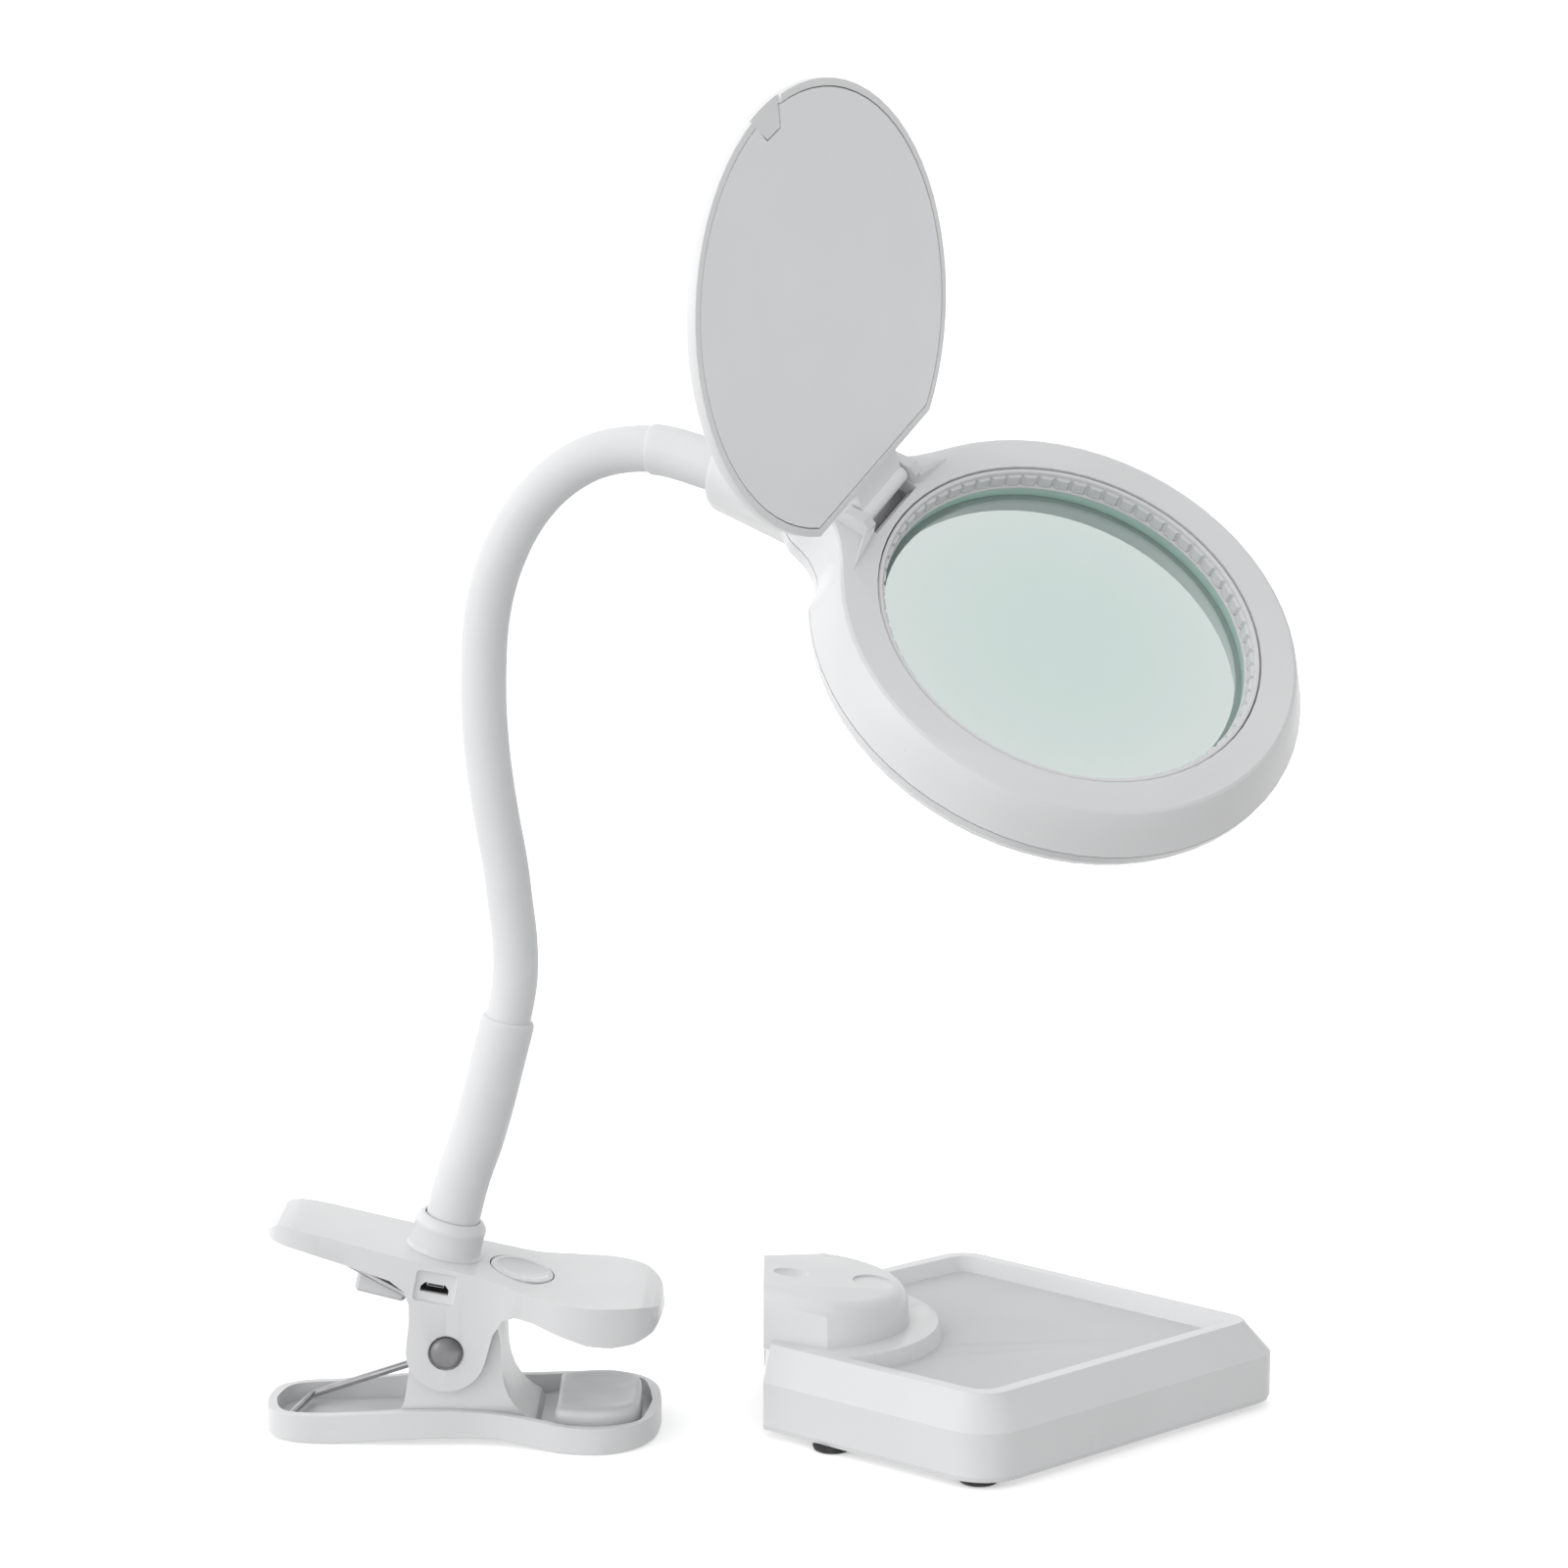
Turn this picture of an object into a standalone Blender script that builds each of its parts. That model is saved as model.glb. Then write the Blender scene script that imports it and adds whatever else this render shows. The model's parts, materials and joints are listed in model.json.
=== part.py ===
"""Clip-on magnifying lamp with a flexible neck, a hinged lens lid and a separate desk base.

Lengths in this file are millimetres; MM turns them into Blender's metres when a mesh is made.
The clamp lies along X with its jaws towards +X, Y is across the jaws and Z is up from the desk.
"""
import math

import bmesh
import bpy
from mathutils import Matrix, Vector

MM = 0.001
GAP = 0.3                    # clearance between touching pieces

# clamp
PIVOT_Z = 23.0               # height of the jaw pivot
CHEEK_OUT = 14.8             # half width over the upper jaw's cheeks
WALL = 2.2                   # moulded wall of the jaws
LOBE_R = 9.6                 # round end of the upper jaw's cheeks
PIN_R = 2.5
COIL_R = 6.3
COIL_Y = 8.2                 # half length of the spring's coil
WIRE_R = 0.95
TOP_TILT = math.radians(14.4)  # slope of the upper jaw's top, down towards the jaws
JAW_TILT_X0 = 7.0            # where that slope ends
JAW_TOP_Z0 = 42.2            # height of the top there

# gooseneck
STEM_R = 6.5                 # stiff sleeve at the clamp
FLEX_R = 5.4                 # flexible length
TAIL_R = 5.9                 # stiff sleeve at the head
JOINT_GAP = 1.4              # from a bending station to the next segment's end

# head
HEAD_CENTRE = (144.9, -43.0, 203.3)
HEAD_U = Vector((0.834, -0.228, -0.5025))    # from the neck towards the lens
HEAD_N = Vector((0.2507, -0.6546, 0.7131))   # out of the top face
RING_IN = 44.9
RING_OUT = 53.3
RING_WALL = 1.8
PART_Z = -10.05              # parting plane of the two housings
HEAD_DEPTH = 16.0
LENS_R = 42.8
HINGE_A = 51.2               # lid hinge, back from the lens centre
HINGE_Z = 1.2                # and above the top face
LID_R = 49.5
LID_BACK = 48.8              # hinge, back from the lid's centre
LID_CHORD = 42.4             # flat of the lid, back from the lid's centre
LID_OPEN = math.radians(124.5)
SOCKET = (-87.5, -18.8)      # middle of the neck socket's mouth, along U and N
SOCKET_DIR = (0.934, 0.357)

# desk base
BASE_AT = (75.8, 15.9, 0.0)
BASE_FOOT = 1.6
BASE_MID = 13.5
BASE_RIM = 21.5
BASE_WALL = 2.2
FLOOR_Z = 17.7
RISER_X = 13.5
RISER_R = 22.8
RISER_BACK = 15.5            # half width of the riser at the docking end

SEGMENTS = 64


# ---------------------------------------------------------------- helpers

def clear_scene():
    for obj in list(bpy.data.objects):
        bpy.data.objects.remove(obj, do_unlink=True)


def new_collection(name):
    coll = bpy.data.collections.new(name)
    bpy.context.scene.collection.children.link(coll)
    return coll


def material(name, color, roughness, metallic=0.0):
    mat = bpy.data.materials.new(name)
    mat.use_nodes = True
    shader = mat.node_tree.nodes["Principled BSDF"]
    shader.inputs["Base Color"].default_value = (*color, 1.0)
    shader.inputs["Roughness"].default_value = roughness
    shader.inputs["Metallic"].default_value = metallic
    return mat


def tool(obj):
    """Makes an object a hidden cutter."""
    obj.hide_render = True
    obj.display_type = "WIRE"
    for coll in obj.users_collection:
        coll.objects.unlink(obj)
    CUTTERS.objects.link(obj)
    return obj


def put(name, mesh, parent=None, loc=(0, 0, 0), rot=(0, 0, 0)):
    obj = bpy.data.objects.new(name, mesh)
    PARTS.objects.link(obj)
    obj.parent = parent
    obj.location = Vector(loc) * MM
    obj.rotation_euler = rot
    return obj


def from_bmesh(name, bm, **place):
    mesh = bpy.data.meshes.new(name)
    bmesh.ops.recalc_face_normals(bm, faces=bm.faces)
    bm.to_mesh(mesh)
    bm.free()
    return put(name, mesh, **place)


def box(name, size, **place):
    bm = bmesh.new()
    bmesh.ops.create_cube(bm, size=1.0)
    bmesh.ops.scale(bm, vec=Vector(size) * MM, verts=bm.verts)
    return from_bmesh(name, bm, **place)


def cylinder(name, radius, length, axis="Z", top=None, steps=32, **place):
    """A cylinder or cone about its own middle, along one of its local axes."""
    bm = bmesh.new()
    bmesh.ops.create_cone(
        bm, cap_ends=True, segments=steps, radius1=radius * MM,
        radius2=(radius if top is None else top) * MM, depth=length * MM)
    turn = {"X": Matrix.Rotation(math.pi / 2, 3, "Y"), "Y": Matrix.Rotation(-math.pi / 2, 3, "X")}
    if axis in turn:
        bmesh.ops.rotate(bm, matrix=turn[axis], verts=bm.verts)
    return from_bmesh(name, bm, **place)


def turned(name, profile, steps=SEGMENTS, **place):
    """Revolves a closed (radius, z) profile about local Z."""
    mesh = bpy.data.meshes.new(name)
    points = [(r * MM, 0.0, z * MM) for r, z in profile]
    last = len(points) - 1
    edges = [(i, i + 1) for i in range(last)]
    if profile[0][0] > 0.0 or profile[-1][0] > 0.0:
        edges.append((last, 0))
    mesh.from_pydata(points, edges, [])
    obj = put(name, mesh, **place)
    screw = obj.modifiers.new("turn", "SCREW")
    screw.steps = steps
    screw.render_steps = steps
    screw.use_merge_vertices = True
    screw.merge_threshold = 0.00001
    return obj


def to_mesh(obj):
    """Turns a curve object into a welded mesh object of the same name."""
    graph = bpy.context.evaluated_depsgraph_get()
    mesh = bpy.data.meshes.new_from_object(obj.evaluated_get(graph))
    bm = bmesh.new()
    bm.from_mesh(mesh)
    bmesh.ops.remove_doubles(bm, verts=bm.verts, dist=0.00001)
    bmesh.ops.recalc_face_normals(bm, faces=bm.faces)
    bm.to_mesh(mesh)
    bm.free()
    name, parent, place = obj.name, obj.parent, obj.matrix_basis.copy()
    bpy.data.objects.remove(obj, do_unlink=True)
    solid = put(name, mesh, parent=parent)
    solid.matrix_basis = place
    return solid


def slab(name, outline, low, high, axis="Z", **place):
    """A flat outline with thickness: in XY from z low to high, or in XZ from y low to high."""
    curve = bpy.data.curves.new(name, "CURVE")
    curve.dimensions = "2D"
    curve.fill_mode = "BOTH"
    curve.extrude = (high - low) * MM / 2
    spline = curve.splines.new("POLY")
    spline.points.add(len(outline) - 1)
    for point, (x, y) in zip(spline.points, outline):
        point.co = (x * MM, y * MM, 0.0, 1.0)
    spline.use_cyclic_u = True
    solid = to_mesh(put(name, curve))
    if axis == "Y":
        solid.data.transform(Matrix.Rotation(math.pi / 2, 4, "X"))
    middle = (high + low) * MM / 2
    shift = (0, middle, 0) if axis == "Y" else (0, 0, middle)
    solid.data.transform(Matrix.Translation(shift))
    solid.parent = place.get("parent")
    solid.location = Vector(place.get("loc", (0, 0, 0))) * MM
    solid.rotation_euler = place.get("rot", (0, 0, 0))
    return solid


def tube(name, points, radii, resolution=2, **place):
    """A round bar along a row of points, with one radius for each point or one for all."""
    curve = bpy.data.curves.new(name, "CURVE")
    curve.dimensions = "3D"
    curve.bevel_depth = MM
    curve.bevel_resolution = resolution
    curve.use_fill_caps = True
    spline = curve.splines.new("POLY")
    spline.points.add(len(points) - 1)
    for i, (point, co) in enumerate(zip(spline.points, points)):
        point.co = (*(Vector(co) * MM), 1.0)
        point.radius = radii[i] if isinstance(radii, list) else radii
    return to_mesh(put(name, curve, **place))


def hull(name, points, **place):
    bm = bmesh.new()
    for point in points:
        bm.verts.new(Vector(point) * MM)
    result = bmesh.ops.convex_hull(bm, input=bm.verts)
    spare = {v for v in result["geom_interior"] if isinstance(v, bmesh.types.BMVert)}
    bmesh.ops.delete(bm, geom=list(spare), context="VERTS")
    bmesh.ops.dissolve_limit(bm, angle_limit=0.001, verts=bm.verts, edges=bm.edges)
    return from_bmesh(name, bm, **place)


def loft(name, rings, **place):
    """Skins a stack of outlines that all have the same number of points."""
    bm = bmesh.new()
    rows = [[bm.verts.new(Vector(p) * MM) for p in ring] for ring in rings]
    count = len(rings[0])
    for low, high in zip(rows, rows[1:]):
        for i in range(count):
            j = (i + 1) % count
            bm.faces.new((low[i], low[j], high[j], high[i]))
    bm.faces.new(rows[0])
    bm.faces.new(rows[-1])
    return from_bmesh(name, bm, **place)


def boolean(obj, other, operation="DIFFERENCE"):
    """Cuts with, joins or keeps what is common with another object, which becomes a cutter."""
    mod = obj.modifiers.new(other.name, "BOOLEAN")
    mod.object = tool(other)
    mod.operation = operation
    mod.solver = "EXACT"
    return obj


def bevel(obj, width, segments=2, angle=30):
    mod = obj.modifiers.new("bevel", "BEVEL")
    mod.width = width * MM
    mod.segments = segments
    mod.limit_method = "ANGLE"
    mod.angle_limit = math.radians(angle)
    return obj


def finish(obj, mat):
    obj.data.materials.clear()
    obj.data.materials.append(mat)
    obj.data.shade_smooth()
    obj.data.set_sharp_from_angle(angle=math.radians(35))
    return obj


def empty(name, parent=None, matrix=None):
    obj = bpy.data.objects.new(name, None)
    PARTS.objects.link(obj)
    obj.parent = parent
    if matrix is not None:
        obj.matrix_basis = matrix
    return obj


def smooth(points, per_span=4, closed=False):
    """Catmull-Rom curve through a few 2-D or 3-D points."""
    pts = [Vector(p) for p in points]
    count = len(pts)
    out = []
    for i in range(count if closed else count - 1):
        if closed:
            a, b, c, d = (pts[(i + k - 1) % count] for k in range(4))
        else:
            a, b, c, d = pts[max(i - 1, 0)], pts[i], pts[i + 1], pts[min(i + 2, count - 1)]
        for k in range(per_span):
            t = k / per_span
            out.append(0.5 * (2 * b + (c - a) * t + (2 * a - 5 * b + 4 * c - d) * t ** 2
                              + (3 * b - a - 3 * c + d) * t ** 3))
    if not closed:
        out.append(pts[-1])
    return out


def arc(cx, cy, radius, start, end, steps):
    """Points on a circle, angles in degrees."""
    turn = [math.radians(start + (end - start) * i / steps) for i in range(steps + 1)]
    return [(cx + radius * math.cos(t), cy + radius * math.sin(t)) for t in turn]


def mirrored(half):
    """Closes a half outline, given at +y from its first point on, with its mirror at -y."""
    return half + [(x, -y) for x, y in reversed(half) if abs(y) > 1e-6]


def top_z(x):
    """Height of the sloping part of the upper jaw's top."""
    return JAW_TOP_Z0 - math.tan(TOP_TILT) * (x - JAW_TILT_X0)


# ---------------------------------------------------------------- clamp

def jaw_plan(inset, tip, back):
    """Half-round ended plan of a jaw: narrow handle, waist, broad jaw."""
    half = smooth([(back + inset, 0), (back + inset + 1.5, 8.5 - inset * 0.6), (back + 8, 12.9 - inset),
                   (back + 20, 13.9 - inset), (-8, CHEEK_OUT - inset), (8, CHEEK_OUT - inset),
                   (19, 17.4 - inset), (29, 20.8 - inset), (38, 21.4 - inset), (tip - 5.5, 17.8 - inset),
                   (tip - 1.2 - inset, 10.5 - inset * 0.6), (tip - inset, 0)])
    return mirrored([(p[0], p[1]) for p in half])


def upper_side():
    """Side outline of the upper jaw and its cheeks."""
    top = [(-43.6, 50.2), (-41.5, 52.6), (-37.0, 53.4), (-20, top_z(-20)), (0, top_z(0)),
           (JAW_TILT_X0, JAW_TOP_Z0), (14, 40.2), (21, 38.1), (31, 36.5), (40, 35.9), (47.5, 35.0),
           (51.3, 33.0)]
    throat = [(51.9, 30.6), (49.6, 28.0), (45, 26.6), (40, 26.3), (34, 27.0), (27, 29.2), (21, 31.5),
              (16.6, 32.4), (13.6, 31.2), (11.3, 27.6), (10.0, 23.0)]
    lobe = arc(0, PIVOT_Z, LOBE_R, -15, -180, 12)
    handle = [(-9.2, 27.0), (-8.7, 31.0), (-8.7, 35.0), (-9.8, 38.2), (-13.2, 40.9), (-24.5, 44.8),
              (-34, 47.8), (-41, 49.4)]
    return [(p[0], p[1]) for p in smooth(top, 2)] + throat + lobe + handle


def make_upper_jaw(white):
    jaw = slab("upper_jaw_shell", upper_side(), -30, 30, "Y")
    boolean(jaw, slab("upper_plan", jaw_plan(0, 51.9, -43.6), 0, 70), "INTERSECT")
    bevel(jaw, 2.5, 1, 40)
    side = slab("upper_hollow_side", upper_hollow_side(), -30, 30, "Y")
    boolean(side, slab("upper_hollow_plan", jaw_plan(WALL, 51.9, -43.6), 0, 70), "INTERSECT")
    boolean(jaw, side)
    boolean(jaw, cylinder("pin_way", PIN_R + GAP, 40, "Y", loc=(0, 0, PIVOT_Z)))
    for side_y in (-1, 1):
        seat = cylinder(f"cap_seat_{side_y}", 4.3, 1.6, "Y", loc=(0, side_y * CHEEK_OUT, PIVOT_Z))
        boolean(jaw, seat)
    neck_hole = cylinder("neck_hole", STEM_R + GAP, 20, loc=(-1.3, 0, top_z(-1.3)), rot=(0, TOP_TILT, 0))
    boolean(jaw, neck_hole)
    hole = ellipse(7.8 + GAP, 8.9 + GAP)
    boolean(jaw, slab("button_hole", hole, -6, 6, loc=(17.4, 0, 39.2), rot=(0, TOP_TILT, 0)))
    port_rot = (0, math.radians(11), 0)
    recess = box("port_recess", (10.0, 2.0, 7.6), loc=(-2.2, -CHEEK_OUT, 39.2), rot=port_rot)
    boolean(jaw, bevel(recess, 0.8, 2))
    front = -CHEEK_OUT - 2
    way = slab("port_way", port_outline(), front, front + 6, "Y", loc=(-2.5, 0, 38.8), rot=port_rot)
    boolean(jaw, way)
    return finish(jaw, white)


def upper_hollow_side():
    """Side outline of the space inside the upper jaw, open below."""
    top = [(-41, 49.8), (-37, 51.0), (-20, top_z(-20) - WALL), (JAW_TILT_X0, JAW_TOP_Z0 - WALL),
           (14, 38.0), (21, 35.9), (31, 34.3), (40, 33.7), (47, 32.8), (49.6, 30.5)]
    return top + [(49.6, 0), (-41, 0)]


def ellipse(rx, ry, steps=32):
    turn = [2 * math.pi * i / steps for i in range(steps)]
    return [(rx * math.cos(t), ry * math.sin(t)) for t in turn]


def make_lower_jaw(white):
    """A shallow tray with a bracket in its middle: two cheeks and a front web."""
    side = [(-46, 0.9), (-33, 0), (-27, 0), (-19, 0.7), (-5, 1.7), (12, 1.7), (22, 0.5), (27, 0), (40, 0),
            (60, 0.8)]
    rim = [(60, 6.4), (30, 6.4), (14, 7.8), (0, 8.4), (-12, 8.2), (-28, 7.0), (-46, 6.9)]
    jaw = slab("lower_jaw_shell", side + rim, -30, 30, "Y")
    boolean(jaw, slab("lower_plan", jaw_plan(0, 51.0, -44.8), -5, 30), "INTERSECT")
    bevel(jaw, 1.4, 1, 40)
    boolean(jaw, slab("tray", jaw_plan(WALL, 51.0, -44.8), 2.6, 30))
    cheek = arc(0, PIVOT_Z, 8.6, 180, 70, 8)
    flare = smooth([(12.2, 28.6), (13.0, 24), (13.2, 17), (14.6, 11.6), (17.4, 7.6), (21.0, 5.0)], 2)
    front = [(9.6, 30.2), (11.4, 30.0)] + [(p[0], p[1]) for p in flare] + [(22.0, 2.4)]
    back = [(-13.5, 2.4), (-12.2, 5.6), (-10.4, 10), (-9.4, 16)]
    bracket = slab("bracket", cheek + front + back, -12.2, 12.2, "Y")
    room = box("bracket_room", (34, 19.6, 40), loc=(-6.2, 0, 22.8))
    boolean(bracket, room)
    boolean(jaw, bracket, "UNION")
    boolean(jaw, cylinder("lower_pin_way", PIN_R + GAP, 40, "Y", loc=(0, 0, PIVOT_Z)))
    return finish(jaw, white)


def make_pads(rubber):
    low = slab("lower_jaw_pad", pad_outline(25.8, 46.2, 16.0), 2.9, 9.0)
    finish(bevel(low, 2.2, 3), rubber)
    high = slab("upper_jaw_pad", pad_outline(31.0, 47.2, 13.2), 28.0, 32.4)
    finish(bevel(high, 1.2, 2), rubber)


def pad_outline(back, front, half):
    """A barrel-sided block, square at the back and rounded at the front."""
    side = [(back, half - 3.0), (back + 2.0, half - 1.4), (back + 8.5, half), (front - 6.4, half - 0.4),
            (front - 2.0, half - 3.2), (front - 0.4, half - 7.0), (front, 0)]
    return mirrored([(p[0], p[1]) for p in smooth(side, 2)])


def make_pivot(steel, chrome):
    pin = cylinder("pivot_pin", PIN_R, 2 * (CHEEK_OUT - 1.1), "Y", loc=(0, 0, PIVOT_Z), steps=24)
    finish(bevel(pin, 0.3, 1), steel)
    dome = [(0.0, 1.7), (1.6, 1.55), (2.9, 1.05), (3.7, 0.4), (4.0, -0.4), (4.0, -0.5), (0.0, -0.5)]
    for name, side_y in (("pin_cap_front", -1), ("pin_cap_back", 1)):
        turn = (math.pi / 2 if side_y < 0 else -math.pi / 2, 0, 0)
        cap = turned(name, dome, 24, loc=(0, side_y * (CHEEK_OUT + 0.1), PIVOT_Z), rot=turn)
        finish(cap, chrome)


def make_spring(wire):
    """A torsion spring round the pin, one leg up the handle, one along the lower jaw with a crossbar."""
    up = Vector((-0.872, 0.0, 0.4895))
    down = Vector((-0.95, 0.0, -0.3122))
    centre = Vector((0, 0, PIVOT_Z))
    turns = 7
    start = math.atan2(up.z, -up.x)
    end = math.atan2(-down.z, down.x) + 2 * math.pi * turns

    def on_coil(t):
        angle = start + (end - start) * t
        return centre + Vector((COIL_R * math.sin(angle), COIL_Y * (2 * t - 1), COIL_R * math.cos(angle)))

    steps = 11 * turns
    head, foot = on_coil(0), on_coil(1)
    heel = foot + down * 39.3
    points = [head + up * 34, head + up * 4] + [on_coil(i / steps) for i in range(steps + 1)]
    points += [foot + down * 4, heel, Vector((heel.x - 3.6, -COIL_Y, heel.z))]
    finish(tube("torsion_spring", points, WIRE_R, 1), wire)


def make_controls(white, grey, green, metal):
    """Push button, its circuit board and switch, the power socket with its board, and the bay cover."""
    tilt = (0, TOP_TILT, 0)
    rim = 0.9
    body = slab("switch_button", ellipse(7.8, 8.9), -1.6, 0.25, loc=(17.4, 0, 39.2), rot=tilt)
    bevel(body, 0.3, 1)
    dish = uv_ball("button_dish", (6.8, 7.8, rim), loc=(17.52, 0, 39.2 + 0.45), rot=tilt)
    boolean(body, dish)
    boolean(body, cylinder("plunger", 2.0, 1.6, loc=(16.92, 0, 37.3), rot=tilt, steps=16), "UNION")
    finish(body, white)
    board = box("control_board", (18, 15, 1.0), loc=(15.8, 0, 32.9), rot=tilt)
    finish(board, green)
    switch = box("tact_switch", (6, 6, 1.5), loc=(16.15, 0, 34.46), rot=tilt)
    finish(switch, grey)
    port_rot = (0, math.radians(11), 0)
    inner = -CHEEK_OUT + WALL + GAP
    shell = box("usb_socket", (7.8, 5.2, 3.2), loc=(-2.5, inner + 2.6, 38.8), rot=port_rot)
    mouth = slab("port_mouth", port_outline(), inner - 1, inner + 4.4, "Y", loc=(-2.5, 0, 38.8), rot=port_rot)
    boolean(shell, mouth)
    tongue = box("port_tongue", (4.0, 4.6, 0.7), loc=(-2.5, inner + 2.9, 38.95), rot=port_rot)
    boolean(shell, tongue, "UNION")
    finish(shell, metal)
    small = box("usb_board", (9.0, 5.4, 1.0), loc=(-2.9, -CHEEK_OUT + 5.5, 36.5), rot=port_rot)
    finish(small, green)
    cover = box("electronics_cover", (12.5, 14.0, 9.0), loc=(-15.6, 1.0, 38.6), rot=tilt)
    bevel(cover, 0.8, 1)
    boolean(cover, box("bay_room", (10.1, 11.6, 9.0), loc=(-15.3, 1.0, 39.8), rot=tilt))
    finish(cover, white)


def port_outline():
    """The socket's mouth: wide at the bottom, with its two upper corners cut."""
    wide, high = 3.4, 1.2
    return [(-wide + 1.0, high), (-wide, 0.1), (-wide, -high), (wide, -high), (wide, 0.1), (wide - 1.0, high)]


def uv_ball(name, radii, **place):
    bm = bmesh.new()
    bmesh.ops.create_uvsphere(bm, u_segments=24, v_segments=12, radius=1.0)
    bmesh.ops.scale(bm, vec=Vector(radii) * MM, verts=bm.verts)
    return from_bmesh(name, bm, **place)


# ---------------------------------------------------------------- gooseneck

NECK_ROUTE = [(-1.9, 0, 42.0), (0.8, 0, 52.0), (3.6, 0, 62.6), (7.1, 0, 72.4), (9.9, 0, 82.1),
              (12.4, 0, 91.8), (14.8, 0, 101.4), (16.6, 0, 111.0), (16.7, 0, 120.6), (15.7, 0, 130.1),
              (14.6, 0, 139.6),
              (13.0, 0, 149.1), (11.6, 0, 158.5), (10.6, 0, 167.9), (10.1, 0, 177.3), (10.2, 0, 186.6),
              (10.8, 0.1, 195.9), (12.5, 0.4, 205.1), (15.6, 0.7, 214.0), (20.3, 0.9, 222.6),
              (26.8, 0.8, 229.9),
              (34.9, -0.1, 235.2), (44.0, -1.9, 237.7), (53.6, -5.0, 237.6), (67.2, -10.7, 233.9)]
NECK_STATIONS = [13, 47, 82, 118, 151]     # bending stations, along the flexible length
STEM_LENGTH = 62.0                          # stiff sleeve, from the route's start
TAIL_LENGTH = 19.0                          # stiff sleeve before the head's mouth


def neck_path():
    """The neck's centreline as closely spaced points with the length to each."""
    line = smooth(NECK_ROUTE, 4)
    inner = line[-1] + Vector((HEAD_U * SOCKET_DIR[0] + HEAD_N * SOCKET_DIR[1])) * 20.0
    line.append(inner)
    lengths = [0.0]
    for a, b in zip(line, line[1:]):
        lengths.append(lengths[-1] + (b - a).length)
    return line, lengths


def point_at(line, lengths, s):
    for i in range(len(line) - 1):
        if lengths[i + 1] >= s:
            t = (s - lengths[i]) / (lengths[i + 1] - lengths[i])
            return line[i].lerp(line[i + 1], t)
    return line[-1]


def neck_radius(s, stem_end, tail_start):
    if s < stem_end:
        return STEM_R
    if s > tail_start:
        return TAIL_R
    return FLEX_R


def make_neck(skin):
    line, lengths = neck_path()
    mouth = lengths[-2]
    tail_start = mouth - TAIL_LENGTH
    stations = [STEM_LENGTH + s for s in NECK_STATIONS]
    cuts = [0.0] + stations + [lengths[-1] - 0.01]
    for i, (a, b) in enumerate(zip(cuts, cuts[1:])):
        start = a + (JOINT_GAP if i else 0.0)
        end = b - (JOINT_GAP if i < len(stations) else 0.0)
        knots = [start] + [s for s in lengths if start + 0.8 < s < end - 0.8] + [end]
        for edge in (STEM_LENGTH, tail_start):
            if start < edge < end:
                knots = [s for s in knots if abs(s - edge) > 1.6] + [edge - 0.8, edge + 0.8]
        knots.sort()
        points = [point_at(line, lengths, s) for s in knots]
        radii = [neck_radius(s, STEM_LENGTH, tail_start) for s in knots]
        finish(tube(f"neck_segment_{i + 1}", points, radii, 4), skin)
    return [point_at(line, lengths, s) for s in stations]


def make_collar(white):
    axis_at = (-1.3, 0, top_z(-1.3))
    profile = [(6.8, 8.6), (7.5, 8.6), (8.0, 8.1), (8.0, 6.8), (8.3, 6.5), (8.4, 0.9), (8.9, 0.3), (6.8, 0.3)]
    finish(turned("neck_collar", profile, 40, loc=axis_at, rot=(0, TOP_TILT, 0)), white)


# ---------------------------------------------------------------- head

def head_outline(grow, z, steps=52):
    """Plan of the head, the lens ring with its short arm, grown by a width, at one height."""
    leave = 31.0
    ring = arc(0, 0, RING_OUT + grow, 180 - leave, -180 + leave, steps)
    arm = smooth([ring[-1], (-51.4, -18.2 - grow), (-56.6, -13.4 - grow), (-62.5, -11.4 - grow)], 3)[1:]
    arm = [(p[0], p[1]) for p in arm]
    back = [(-66 - grow * 0.3, -8.4 - grow), (-67.2 - grow * 0.5, 0)]
    lower = arm + back
    return [(x, y, z) for x, y in ring + lower + [(x, -y) for x, y in reversed(lower[:-1])]]


def socket_ring(radius, along, steps=20):
    """A circle across the neck socket's axis, a distance in from its mouth."""
    du, dn = SOCKET_DIR
    cx, cz = SOCKET[0] + du * along, SOCKET[1] + dn * along
    turn = [2 * math.pi * i / steps for i in range(steps)]
    return [(cx - dn * radius * math.cos(t), radius * math.sin(t), cz + du * radius * math.cos(t))
            for t in turn]


def tail_points():
    """The arm's tail: from the full section of the arm down to the round mouth."""
    arm = []
    for x, half, high, low in ((-55, 12.2, -1.2, -14.6), (-64, 10.4, -2.2, -14.6)):
        arm += [(x, half, high), (x, -half, high), (x, half + 3, -8.6), (x, -half - 3, -8.6),
                (x, half, low), (x, -half, low)]
    return arm + socket_ring(9.0, 0.0) + socket_ring(9.6, 1.2) + socket_ring(10.2, 12)


def half_space(name, above, parent):
    """A big block above or below the parting plane."""
    height = 60
    edge = GAP / 2
    middle = PART_Z + edge + height / 2 if above else PART_Z - edge - height / 2
    return box(name, (260, 200, height), parent=parent, loc=(0, 0, middle))


def head_cavity(name, low, parent):
    """Space inside the ring and arm, between the skins."""
    skin = RING_WALL
    top = [(x, y, -skin) for x, y, _ in head_outline(-1.6, 0)]
    waist = [(x, y, PART_Z) for x, y, _ in head_outline(2.8, 0)]
    floor = [(x, y, low) for x, y, _ in head_outline(1.0, 0)]
    room = loft(name, [top, waist, floor], parent=parent)
    core = cylinder(name + "_core", RING_IN + 1.5, 60, steps=SEGMENTS, parent=parent)
    return boolean(room, core)


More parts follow.
